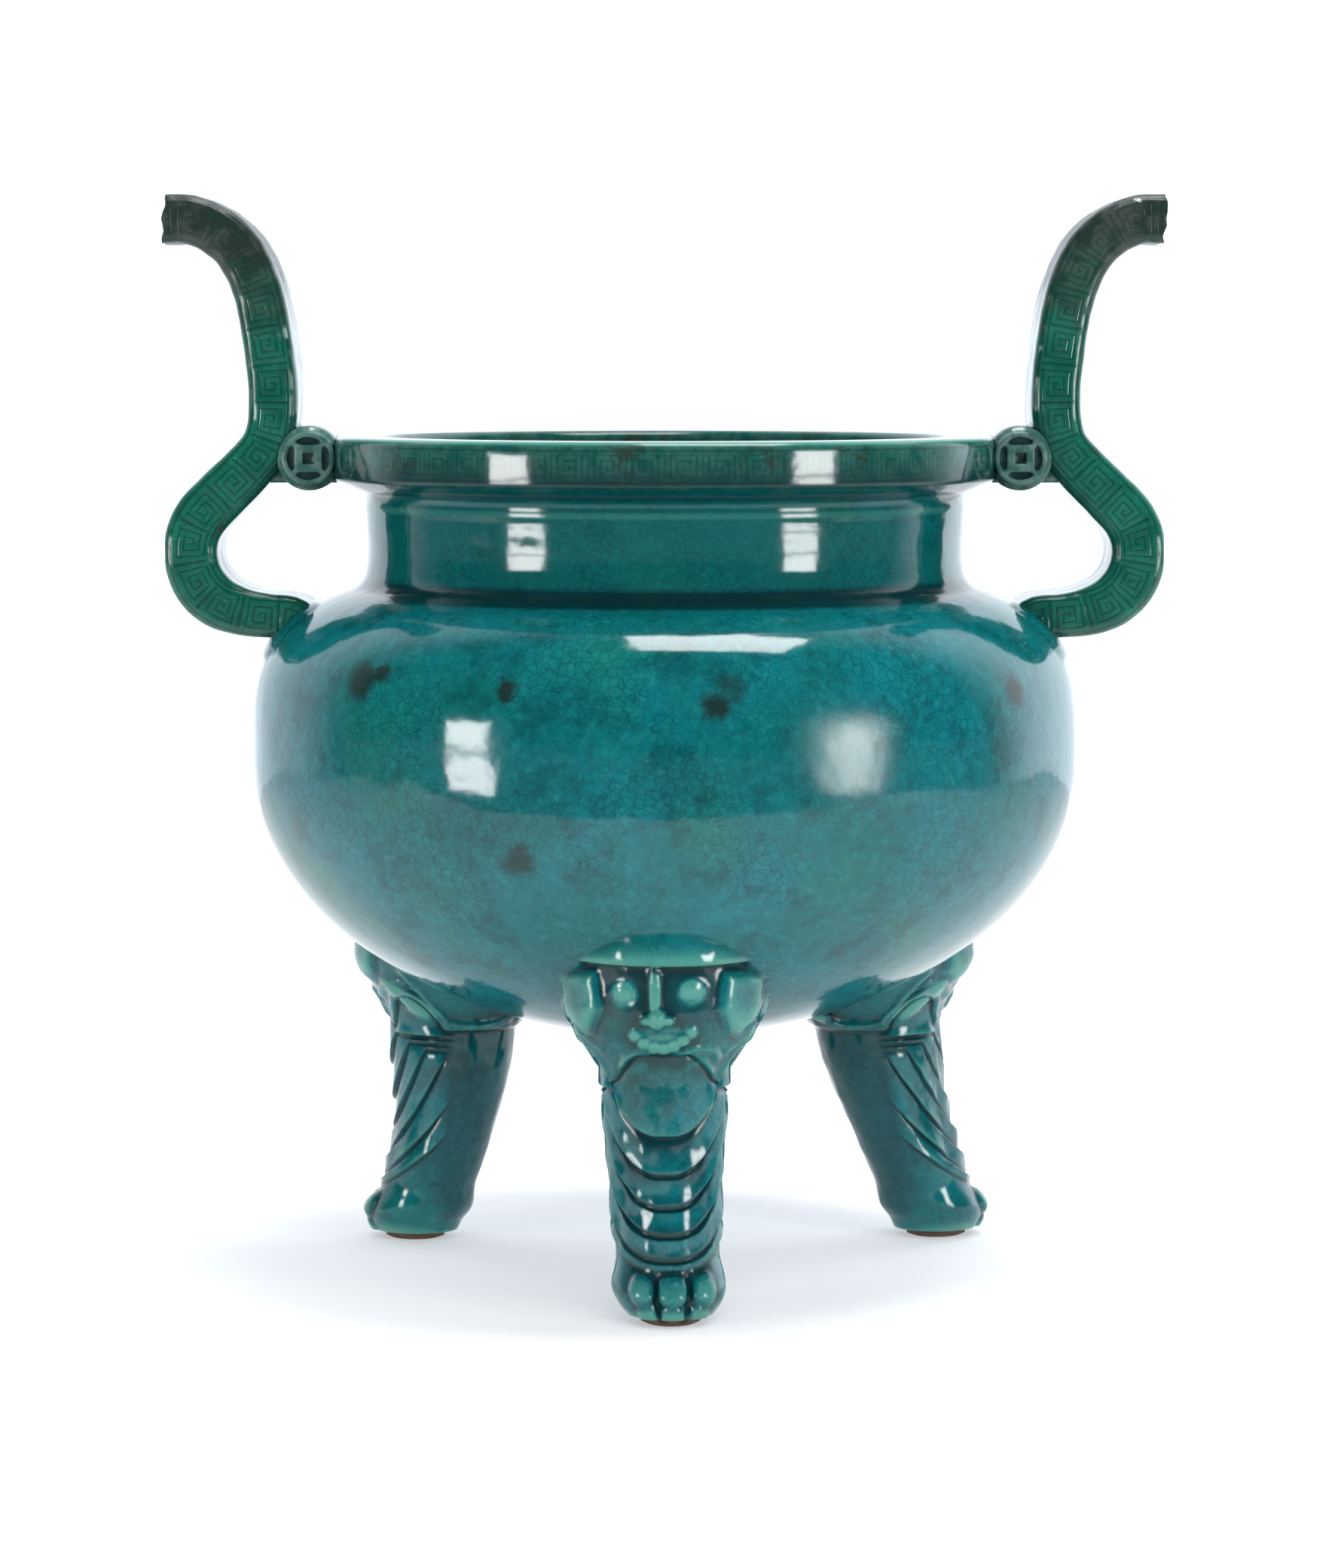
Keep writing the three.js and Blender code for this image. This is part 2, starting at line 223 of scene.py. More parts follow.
# Heights that follow from the sizes above.
NECK_FOOT = float(shoulder_height(NECK_RADIUS))
RIM_FOOT = NECK_FOOT + NECK_HEIGHT + RIM_UNDERSIDE
RIM_TOP = RIM_FOOT + RIM_HEIGHT
RIM_RADIUS = NECK_RADIUS + RIM_OVERHANG
STRUT_HEIGHT = RIM_TOP - RIM_HEIGHT / 2
STRUT_REACH = RIM_RADIUS + ROUNDEL_RADIUS - ROUNDEL_BITE
LEG_HEIGHT = float(underside_height(LEG_CIRCLE + FOREHEAD_REACH))


def spaced(points, step):
    """The same line with its points about one step apart."""
    points = np.asarray(points, float)
    lengths = np.r_[0, np.cumsum(np.linalg.norm(np.diff(points, axis=0), axis=1))]
    at = np.linspace(0, lengths[-1], max(2, round(lengths[-1] / step) + 1))
    return np.column_stack([np.interp(at, lengths, column) for column in points.T])


def unit(vector):
    return vector / np.linalg.norm(vector)


def rounded(before, corner, after, radius, steps=7):
    """Points of an arc that rounds a corner of a flat line."""
    before, corner, after = (np.asarray(p, float) for p in (before, corner, after))
    back = unit(before - corner)
    ahead = unit(after - corner)
    half = math.acos(np.clip(back @ ahead, -1, 1)) / 2
    centre = corner + unit(back + ahead) * radius / math.sin(half)
    start = corner + back * radius / math.tan(half) - centre
    end = corner + ahead * radius / math.tan(half) - centre
    first = math.atan2(start[1], start[0])
    sweep = math.atan2(end[1], end[0]) - first
    sweep = (sweep + math.pi) % (2 * math.pi) - math.pi
    turns = first + sweep * np.linspace(0, 1, steps)
    return centre + radius * np.column_stack([np.cos(turns), np.sin(turns)])


def bowl_curve(inset, mouth, step):
    """Line from the axis below, round the belly and up to a radius of the mouth."""
    turn = np.linspace(0, math.pi / 2, 240)
    low = (BELLY_RADIUS - inset) * np.sin(turn)
    high = (BELLY_RADIUS - inset) * np.cos(turn[1:]) ** (2 / SHOULDER_POWER)
    high = high[high > mouth]
    low_line = np.column_stack([low, underside_height(low, inset)])
    high_line = np.column_stack([high, shoulder_height(high, inset)])
    end = [[mouth, float(shoulder_height(mouth, inset))]]
    return spaced(np.vstack([low_line, high_line, end]), step)


def loft(rings):
    """A closed shell through rings, each anticlockwise as seen from beyond the last one."""
    rings = np.asarray(rings, float)
    count, width = rings.shape[:2]
    points = np.vstack([rings.reshape(-1, 3), rings[0].mean(axis=0), rings[-1].mean(axis=0)])
    row, column = np.meshgrid(np.arange(count - 1) * width, np.arange(width), indexing="ij")
    following = row + (column + 1) % width
    quads = np.stack([row + column, following, following + width, row + column + width], axis=-1)
    across = np.arange(width)
    onward = (across + 1) % width
    last = (count - 1) * width
    bottom = np.column_stack([np.full(width, count * width), onward, across])
    top = np.column_stack([np.full(width, count * width + 1), last + across, last + onward])
    return points, quads.reshape(-1, 4).tolist() + bottom.tolist() + top.tolist()


def lathe(outline):
    turn = np.linspace(0, 2 * math.pi, BOWL_SIDES, endpoint=False)
    radius, height = np.asarray(outline)[1:-1].T
    ones = np.ones_like(turn)
    rings = [np.outer(radius, np.cos(turn)), np.outer(radius, np.sin(turn)), np.outer(height, ones)]
    return loft(np.stack(rings, axis=-1))


def turned_about_z(part, degrees):
    points, faces = part
    turn = math.radians(degrees)
    cos = math.cos(turn)
    sin = math.sin(turn)
    return points @ np.array([[cos, sin, 0], [-sin, cos, 0], [0, 0, 1]]), faces


def placed(name, data):
    made = bpy.data.objects.new(name, data)
    bpy.context.collection.objects.link(made)
    return made


def mesh_object(name, parts):
    points = []
    faces = []
    count = 0
    for part_points, part_faces in parts:
        points.append(part_points)
        faces += [[index + count for index in face] for face in part_faces]
        count += len(part_points)
    mesh = bpy.data.meshes.new(name)
    mesh.from_pydata((np.vstack(points) * MM).tolist(), [], faces)
    return placed(name, mesh)


# Bowl, outside and inside
def bowl_outline():
    neck_foot = [NECK_RADIUS, NECK_FOOT]
    neck_top = [NECK_RADIUS, NECK_FOOT + NECK_HEIGHT]
    lip = [RIM_RADIUS, RIM_FOOT]
    crown = [RIM_RADIUS, RIM_TOP]
    curve = bowl_curve(0, NECK_RADIUS, BOWL_STEP)
    foot_round = rounded(curve[-3], neck_foot, neck_top, NECK_FOOT_ROUND, steps=9)
    curve = curve[(curve[:, 0] > foot_round[0, 0] + 1) | (curve[:, 1] < BELLY_HEIGHT)]
    top_round = rounded(neck_foot, neck_top, lip, NECK_TOP_ROUND)
    wall = spaced([foot_round[-1], top_round[0]], NECK_STEP)[1:-1]
    share = np.linspace(0, 1, len(wall) + 2)[1:-1]
    wall[:, 0] -= NECK_WAVE * (1 + np.cos(2 * math.pi * (share - NECK_WAIST_SHARE)))
    wall[:, 0] += FILLET_RELIEF * hump((wall[:, 1] - FILLET_HEIGHT) / FILLET_WIDTH)
    lip_round = rounded(neck_top, lip, crown, LIP_ROUND, steps=5)
    crown_round = rounded(lip, crown, [0, RIM_TOP], RIM_ROUND)
    crown_flat = [[x, RIM_TOP] for x in CROWN_RADII]
    return np.vstack([curve, foot_round, wall, top_round, lip_round, crown_round, crown_flat])


def hollow_outline():
    bore = NECK_RADIUS - WALL
    curve = bowl_curve(WALL, bore, HOLLOW_STEP)
    corner = rounded(curve[-3], curve[-1], [bore, RIM_TOP], INNER_CORNER)
    curve = curve[(curve[:, 0] > corner[0, 0] + 1) | (curve[:, 1] < BELLY_HEIGHT)]
    turn = np.linspace(0, math.pi / 2, 6)
    mouth = np.column_stack(
        [bore + RIM_ROUND * (1 - np.cos(turn)), RIM_TOP - RIM_ROUND * (1 - np.sin(turn))]
    )
    well_above = RIM_TOP + 10
    above = [[bore + RIM_ROUND, well_above], [0, well_above]]
    return np.vstack([curve, corner, mouth, above])


# Handles
def blend(t, first, second, low, high):
    return ((high - t) * first + (t - low) * second) / (high - low)


def catmull_rom(points, steps):
    """A centripetal spline through points, evenly spaced along its length."""
    points = np.asarray(points, float)
    ends = [2 * points[0] - points[1], 2 * points[-1] - points[-2]]
    points = np.vstack([ends[0], points, ends[1]])
    line = []
    for a, b, c, d in zip(points, points[1:], points[2:], points[3:]):
        knots = [0.0]
        for p, q in ((a, b), (b, c), (c, d)):
            knots.append(knots[-1] + math.sqrt(np.linalg.norm(q - p)))
        k0, k1, k2, k3 = knots
        t = np.linspace(k1, k2, SPLINE_STEPS)[:, None]
        middle = blend(t, b, c, k1, k2)
        before = blend(t, blend(t, a, b, k0, k1), middle, k0, k2)
        after = blend(t, middle, blend(t, c, d, k2, k3), k1, k3)
        line.append(blend(t, before, after, k1, k2))
    line = np.vstack(line)
    line = line[np.r_[True, np.linalg.norm(np.diff(line, axis=0), axis=1) > 1e-6]]
    return spaced(line, np.linalg.norm(np.diff(line, axis=0), axis=1).sum() / steps)


def strap_line():
    foot = float(shoulder_height(HANDLE_FOOT_RADIUS))
    loop_width = LOOP_REACH - HANDLE_WAIST
    loop_height = STRUT_HEIGHT - foot
    curl_width = TIP_REACH - HANDLE_WAIST
    loop = [(0.06, 0.985), (0.35, 0.965), (0.68, 0.9), (0.9, 0.785), (1, 0.63)]
    loop += [(0.985, 0.49), (0.88, 0.37), (0.63, 0.23), (0.3, 0.06), (0.08, -0.09)]
    curl = [(0, 0.22), (0.045, 0.48), (0.16, 0.73), (0.33, 0.88), (0.56, 0.965), (0.78, 1), (1, 1)]
    points = [(HANDLE_FOOT_RADIUS - HANDLE_FOOT_SINK, foot - HANDLE_FOOT_SINK), (HANDLE_FOOT_RADIUS, foot)]
    points += [(HANDLE_WAIST + x * loop_width, STRUT_HEIGHT - z * loop_height) for x, z in loop]
    points += [(HANDLE_WAIST + x * curl_width, STRUT_HEIGHT + z * HANDLE_RISE) for x, z in curl]
    return catmull_rom(points, STRAP_STEPS)


def rounded_rectangle(half_width, half_height, radius, corner_steps=6, sides=(3, 7)):
    """Points round a rectangle, clockwise from the right side's upper end, as (width, height)."""
    turns = np.linspace(0, math.pi / 2, corner_steps)
    arcs = []
    for across, up, start in ((1, -1, 0), (-1, -1, -90), (-1, 1, -180), (1, 1, -270)):
        centre = np.array([across * (half_width - radius), up * (half_height - radius)])
        turn = math.radians(start) - turns
        arcs.append(centre + radius * np.column_stack([np.cos(turn), np.sin(turn)]))
    line = []
    for number, arc in enumerate(arcs):
        between = np.linspace(0, 1, sides[number % 2] + 2)[1:-1, None]
        line += [arc, lerp(arc[-1], arcs[(number + 1) % 4][0], between)]
    return np.vstack(line)


def strap(slant):
    """A handle on the +X side. Its broken end leans by the slant, top over bottom."""
    line = strap_line()
    tangents = np.gradient(line, axis=0)
    tangents /= np.linalg.norm(tangents, axis=1)[:, None]
    shares = np.linspace(0, 1, len(line))
    thickness = lerp(FOOT_THICKNESS, LOOP_THICKNESS, smooth(shares, 0.05, 0.22))
    thickness = lerp(thickness, STRAP_THICKNESS, smooth(shares, 0.35, 0.55))
    rings = []
    for at, along, thick in zip(line, tangents, thickness):
        section = rounded_rectangle(thick / 2, STRAP_DEPTH / 2, STRAP_ROUND)
        across = np.array([along[1], 0, -along[0]])
        ring = np.array([at[0], 0, at[1]]) + np.outer(section[:, 0], across)
        ring[:, 1] = -section[:, 1]
        rings.append(ring)
    rings = np.array(rings)
    centre = rings.mean(axis=1, keepdims=True)
    wear = STRAP_WEAR + TIP_WEAR * smooth(shares, 0.6, 0.95)
    dents = wear[:, None] * (ripple(rings, 17, 3) + 0.7 * ripple(rings, 7, 4)) - 0.3 * wear[:, None]
    outward = rings - centre
    outward /= np.linalg.norm(outward, axis=2, keepdims=True)
    rings += outward * np.minimum(dents, HIGHEST_DENT)[:, :, None]
    above = (rings[:, :, 2] - line[-1, 1]) / 9
    rings[:, :, 0] -= slant * smooth(shares, 0.93, 1)[:, None] * above
    cap = []
    for share in (0.86, 0.62, 0.34):
        ring = lerp(rings[-1].mean(axis=0), rings[-1], share)
        chip = 0.9 + 0.7 * ripple(ring, 9, 8) + 0.35 * ripple(ring, 4, 9)
        ring[:, 0] -= np.clip(chip, 0.1, DEEPEST_CHIP)
        cap.append(ring)
    rings[-1, :, 0] -= np.clip(0.5 + 0.8 * ripple(rings[-1], 8, 12), 0, 2)
    shell = np.concatenate([rings, cap])
    shell[:, :, 0] = np.minimum(shell[:, :, 0], TIP_REACH)
    return loft(shell)


def strap_place(points):
    """How far points lie along a handle's middle line and to its side, in millimetres."""
    line = strap_line()
    flat = np.column_stack([np.abs(points[:, 0]), points[:, 2]])
    steps = np.diff(line, axis=0)
    lengths = np.linalg.norm(steps, axis=1)
    starts = np.r_[0, np.cumsum(lengths)]
    found = np.full((3, len(flat)), 1e9)
    for begin, step, length, start in zip(line, steps, lengths, starts):
        away = flat - begin
        share = np.clip(away @ step / length**2, 0, 1)
        gap = np.linalg.norm(away - share[:, None] * step, axis=1)
        side = (away[:, 0] * step[1] - away[:, 1] * step[0]) / length
        found = np.where(gap < found[0], [gap, start + share * length, side], found)
    return found[1:]


# Luting pad
def luting_pad():
    curve = bowl_curve(0, NECK_RADIUS, SMEAR_STEP)
    curve = curve[(curve[:, 1] > SMEAR_FOOT) & (curve[:, 0] > SMEAR_REACH)]
    normals = np.gradient(curve, axis=0)
    normals = np.column_stack([normals[:, 1], -normals[:, 0]])
    normals /= np.linalg.norm(normals, axis=1)[:, None]
    up = np.linspace(-1, 1, len(curve))[:, None]
    across = np.linspace(-1, 1, SMEAR_COLUMNS)[None, :]
    edge = 1 - (np.abs(across) ** 3.5 + np.abs(up) ** 4)
    lift = np.where(edge > 0, SMEAR_SWELL * np.sqrt(np.clip(edge, 0, 1)), SMEAR_DIP * edge)
    turn = across * math.radians(SMEAR_HALF_TURN)
    sheets = []
    for height in (lift, np.full_like(lift, -SMEAR_SINK)):
        radius = curve[:, :1] + normals[:, :1] * height
        level = curve[:, 1:] + normals[:, 1:] * height
        sheets.append(np.stack([radius * np.cos(turn), radius * np.sin(turn), level + 0 * turn], axis=-1))
    top, under = sheets
    return loft([np.vstack([outer, inner[::-1]]) for outer, inner in zip(top, under)])


# Roundels and the blocks behind them
def coin_ring(turns, share, square, sunk):
    """A ring of a coin's face, round or square, and how deep it lies: sunk, apart from its corners."""
    cos = np.cos(turns)
    sin = np.sin(turns)
    reach = ROUNDEL_RADIUS * share / (np.maximum(np.abs(cos), np.abs(sin)) if square else 1)
    away = np.abs((np.degrees(turns) + 45) % 90 - 45)
    return reach * cos, reach * sin, ROUNDEL_RECESS * sunk * smooth(45 - away, 4, 13)


def strut():
    """The clay between a handle and the rim, on the +X side."""
    turns = np.linspace(0, 2 * math.pi, ROUNDEL_SIDES, endpoint=False)
    face = STRAP_DEPTH / 2 + ROUNDEL_PROUD
    eye = ROUNDEL_RECESS * 1.2
    rings = []

    # Rings of the face, square and then round: share of its radius, sunk or not, and further depth
    square_rings = [(0.12, 0, eye), (0.17, 0, eye * 0.9), (0.21, 0, 0.05)]
    square_rings += [(0.48, 0, 0), (0.5, 0, 0.1), (0.53, 1, 0)]
    round_rings = [(0.76, 1, 0), (0.8, 0, 0.1), (0.84, 0, 0), (0.93, 0, 0), (0.98, 0, 0.25), (1, 0, 0.8)]
    for square, plans in ((True, square_rings), (False, round_rings)):
        for share, sunk, extra in plans:
            x, z, depth = coin_ring(turns, share, square, sunk)
            rings.append((x, z, face - extra - depth))
    for y, share in ((face - 1.6, 1), (face - 2.4, 1.04), (face - 3.1, 1.14), (face - 4.2, 1.2), (9, 1.2)):
        rings.append((ROUNDEL_RADIUS * share * np.cos(turns), ROUNDEL_RADIUS * share * np.sin(turns), y))
    front = [np.column_stack([x, np.broadcast_to(-y, x.shape), z]) for x, z, y in rings]
    back = [ring * [1, -1, 1] for ring in reversed(front)]
    barrel = np.array(front + back)
    barrel[:, :, 1] += 0.12 * ripple(barrel, 6, 21)
    barrel_part = loft(barrel + [STRUT_REACH, 0, STRUT_HEIGHT])
    block_height = RIM_HEIGHT - RIM_ROUND + BLOCK_DROP
    half_depth = STRAP_DEPTH / 2 - BLOCK_INSET
    section = rounded_rectangle(half_depth, block_height / 2, BLOCK_ROUND, corner_steps=4, sides=(4, 7))
    middle_height = STRUT_HEIGHT + (block_height - RIM_HEIGHT) / 2 - BLOCK_DROP
    block = []
    for x in np.linspace(RIM_RADIUS - ROUNDEL_BITE, HANDLE_WAIST + ROUNDEL_BITE, 9):
        width, up = section.T
        block.append(np.column_stack([np.full(len(section), x), -width, middle_height + up]))
    return barrel_part, loft(block)


# Folds of a leg: level in front, turn at which they end, rows of the mesh, and pooled glaze with painted
# shade at the fold's top under the next lip
FOLDS = [
    (0.138, 165, 5, 0.7),
    (0.166, 140, 7, 0.7),
    (0.224, 113, 8, 0.7),
    (0.29, 93, 7, 0.7),
    (0.368, 75, 9, 0.7),
    (0.463, 54, 12, 0.25),
]


def shaft_radius(share):
    paw = lerp(PAD_RADIUS + PAD_HEIGHT, PAW_RADIUS, np.sqrt(smooth(share, 0, PAW_LEVEL)))
    ankle = lerp(paw, ANKLE_RADIUS, smooth(share, PAW_LEVEL, ANKLE_TOP))
    shaft = lerp(ankle, KNEE_RADIUS, smooth(share, CALF_LEVEL, KNEE_LEVEL))
    mask = lerp(shaft, MASK_RADIUS - MASK_RELIEF, smooth(share, MASK_FOOT, MASK_TOP))
    return mask - CROWN_TAPER * MASK_RADIUS * smooth(share, CROWN_LEVEL, 1)


def radius_at(height):
    return float(shaft_radius(np.array(height / LEG_HEIGHT)))


def mane_level(turn):
    edge = lerp(CHIN_LEVEL, COLLAR_LEVEL, smooth(turn, 14, 60))
    return edge + ARCH_RISE * np.cos(np.clip((turn - ARCH_TURN) / ARCH_WIDTH, -1, 1) * math.pi / 2)


def fold_level(index, turn):
    level, end, *_ = FOLDS[index]
    gathered = COLLAR_LEVEL - FOLD_GAP * (len(FOLDS) - index)
    sweep = np.clip((turn - FOLD_FRONT) / (end - FOLD_FRONT), 0, 1) ** FOLD_SWEEP
    even = lerp(ANKLE_LEVEL, gathered, index / (len(FOLDS) - 1))
    return lerp(lerp(level, gathered, sweep), even, smooth(turn, FADE_END, BACK_TURN))


# Ovals of a leg: turn, height, half width, half height, relief, lean
EYES = [(-23.6, 115.8), (15.7, 116.6)]
EYE_RADIUS = 5.3
MASK_OVALS = [
    (-5.5, 116, 2.4, 11, 2.6, 0),
    (-4.2, 107.2, 3.7, 4.5, 3.8, 0),
    (-10.2, 106.6, 2.4, 2.2, 2.6, 0),
    (2, 106.6, 2.4, 2.2, 2.6, 0),
    (-2, 101.8, 8.5, 3.4, 1.5, 0),
    (180, 90, 5.2, 4.6, 7, 0),
]
BOTH_SIDES_OVALS = [
    (86, 94, 6.2, 9, 2.2, 0),
    (150, 95, 11, 5, 1.2, 24),
]
BEADS = [(-18, 101.6), (-12.6, 98.8), (-6.6, 97.3), (-0.6, 97), (5.6, 97.8), (11.2, 99.9), (16, 102.8)]
BEAD = (2.7, 2.8, 2, 0)

# Toes: turn and size, and the gaps between them
TOES = [(-28, 1), (3, 1.08), (38, 1)]
TOE_GAPS = (-13, 20.5)

# Hollows of a mask: turn, height, half width, half height, depth. The sockets lie to both sides.
FACE_TURN = -4
SOCKET = (19, 114.5, 12, 8.5, 3)
MOUTH = (-2, 103.5, 18, 2.6, 1.1)

# Plateaus of a leg: corners as (millimetres round it, height), relief, width of the soft edge
PLATEAUS = [
    ([(19.5, 124), (44, 122.5), (37, 104), (28, 98.5), (22, 100.5), (17.6, 110)], 2.4, 4.5),
    ([(-23.5, 124), (-49, 122.5), (-42, 104), (-32, 98.5), (-26, 100), (-21, 110)], 2.4, 4.5),
]

# Ridges of a leg: points as (turn, height), half width, relief
RIDGES = [
    ([(6, 110.5), (16, 108.5), (23, 104.5)], 1, 0.8),
    ([(-14.5, 109.5), (-22, 107), (-27, 103)], 1, 0.7),
    ([(9.5, 94.2), (22, 96.2), (36.5, 95.5), (45, 92)], 1.3, 1.2),
    ([(-12.2, 94.6), (-22, 94.4), (-31, 92.4), (-36, 89.5)], 1.3, 1.2),
    ([(21, 90.6), (31, 91.3), (42, 87.5)], 1.4, 1),
    ([(-17, 91), (-26.4, 89.2), (-36, 86)], 1.4, 1),
]
BOTH_SIDES_RIDGES = [
    ([(88, 112), (96, 99), (104, 92), (113, 85.5)], 1.4, 1.5),
    ([(104, 92.5), (97, 98), (83, 101.5), (66, 98), (52, 94.5)], 1.3, 1.3),
    ([(70, 96), (62, 90), (58, 85.5)], 1.2, 1),
    ([(113, 85.8), (128, 84.5), (150, 84.3), (168, 86), (180, 88)], 1.3, 1.2),
]


def oval(arc, height, middle_arc, middle_height, half_width, half_height, relief, lean):
    tilt = math.radians(lean) * math.copysign(1, middle_arc)
    x = arc - middle_arc
    z = height - middle_height
    across = (x * math.cos(tilt) - z * math.sin(tilt)) / half_width
    up = (x * math.sin(tilt) + z * math.cos(tilt)) / half_height
    return relief * np.sqrt(np.clip(1 - across**2 - up**2, 0, 1))


def ridge(arc, height, line, half_width, relief):
    """A soft ridge along a line of points."""
    nearest = np.full(arc.shape, 1e9)
    for (x0, z0), (x1, z1) in zip(line, line[1:]):
        length = (x1 - x0) ** 2 + (z1 - z0) ** 2
        share = np.clip(((arc - x0) * (x1 - x0) + (height - z0) * (z1 - z0)) / length, 0, 1)
        away = np.hypot(arc - x0 - share * (x1 - x0), height - z0 - share * (z1 - z0))
        nearest = np.minimum(nearest, away)
    return relief * np.exp(-((nearest / half_width) ** 2))


def plateau(arc, height, corners, relief, edge):
    """A raised convex field with soft edges, its corners going either way round."""
    inside = np.full(arc.shape, 1e9)
    middle = np.mean(corners, axis=0)
    for (x0, z0), (x1, z1) in zip(corners, corners[1:] + corners[:1]):
        length = math.hypot(x1 - x0, z1 - z0)
        away = ((arc - x0) * (z1 - z0) - (height - z0) * (x1 - x0)) / length
        side = (middle[0] - x0) * (z1 - z0) - (middle[1] - z0) * (x1 - x0)
        inside = np.minimum(inside, away * math.copysign(1, side))
    return relief * np.sqrt(smooth(inside, 0, edge))


def blurred(field, times):
    for _ in range(times):
        field = 0.5 * field + 0.25 * (np.roll(field, 1, axis=1) + np.roll(field, -1, axis=1))
        padded = np.vstack([field[:1], field, field[-1:]])
        field = 0.5 * field + 0.25 * (padded[:-2] + padded[2:])
    return field


def hollow_at(turn, height, place):
    middle_turn, middle_height, half_width, half_height, depth = place
    return depth * hump((turn - middle_turn) / half_width, (height - middle_height) / half_height)


def bend(level, bow):
    return np.clip(1 - level / KNEE_LEVEL, 0, 1) ** bow


def leg_rows(turn, pose):
    """Levels of a leg's rows, their relief before the mask is carved, and where grooves run."""
    spread, _, bow = pose
    rows = []

    def row(level, relief=0.0, groove=0.0):
        rows.append(np.broadcast_arrays(level, relief, groove, turn)[:3])

    pad_top = PAD_HEIGHT / LEG_HEIGHT
    row(0, PAD_RADIUS - PAD_CHAMFER - radius_at(0))
    row(0.3 * pad_top, PAD_RADIUS - radius_at(0))
    row(pad_top, PAD_RADIUS - radius_at(PAD_HEIGHT))
    for share in np.linspace(0, 1, PAW_ROWS):
        row(lerp(pad_top + LIP_LEVEL, fold_level(0, turn) - 2 * LIP_LEVEL, share))

    folded = 1 - smooth(turn, FADE_START, FADE_END)
    strength = FOLD_RELIEF * folded
    in_front = 1 - smooth(turn, 32, 60)
    for index, (_, _, count, pooling_and_shade) in enumerate(FOLDS):
        low = fold_level(index, turn)
        high = fold_level(index + 1, turn) if index + 1 < len(FOLDS) else mane_level(turn)
        lean = spread * (bend(low, bow) - bend(high, bow)) * np.cos(np.radians(turn))
        rise = lean - math.tan(math.radians(FACET_TILT)) * (high - low) * LEG_HEIGHT
        rise = np.clip(rise, LOWEST_FACET, HIGHEST_FACET) * folded
        # Darker lines at each fold's lip and near its top: pooled glaze and painted shade under the lips
        row(low - LIP_LEVEL, 0, folded)
        row(low, 0.45 * strength, 0.7 * folded)
        for share in np.linspace(0, 1, count) ** 1.15:
            facet = strength + np.maximum(-rise, 0) + rise * share
            pooled_and_shaded = pooling_and_shade * smooth(share, 0.55, 1) * in_front
            row(lerp(low + LIP_LEVEL, high - 2.2 * LIP_LEVEL, share), facet, pooled_and_shaded)

    mane = mane_level(turn)
    # A darker line under the mask's lower edge: pooled glaze and painted shade
    row(mane - LIP_LEVEL, 0, 0.8)
    row(mane, 0.5 * MASK_RELIEF, 0.3)
    for share in np.linspace(0, 1, MASK_ROWS):
        row(lerp(mane + LIP_LEVEL, BROW_LEVEL - LIP_LEVEL, share), MASK_RELIEF)
    bulge = FOREHEAD_RELIEF * np.maximum(0, np.cos(np.radians(turn))) ** 2
    brow = MASK_RELIEF + BROW_RELIEF + bulge
    # A darker line at the brow's lower edge: pooled glaze and painted shade under the brow
    row(BROW_LEVEL, lerp(MASK_RELIEF, brow, 0.55), 0.8)
    for share in np.linspace(0, 1, BROW_ROWS):
        row(lerp(BROW_LEVEL + LIP_LEVEL, 1, share), brow - 0.5 * (1 - share) ** 4)
    return np.array(rows).transpose(1, 0, 2)


def leg_swellings():
    swellings = list(MASK_OVALS)
    swellings += [(x, z, *BEAD) for x, z in BEADS]
    swellings += [(x, z, EYE_RADIUS, EYE_RADIUS, EYE_RELIEF, 0) for x, z in EYES]
    for side in (-1, 1):
        swellings += [(side * x, *rest) for x, *rest in BOTH_SIDES_OVALS]
    for x, size in TOES:
        knuckle = (x, 13, 5.2 * size, 5.4, 2.4, 0)
        claw = (x, 5, 4 * size, 4, 1.5, 0)
        swellings += [knuckle, claw]
    return swellings


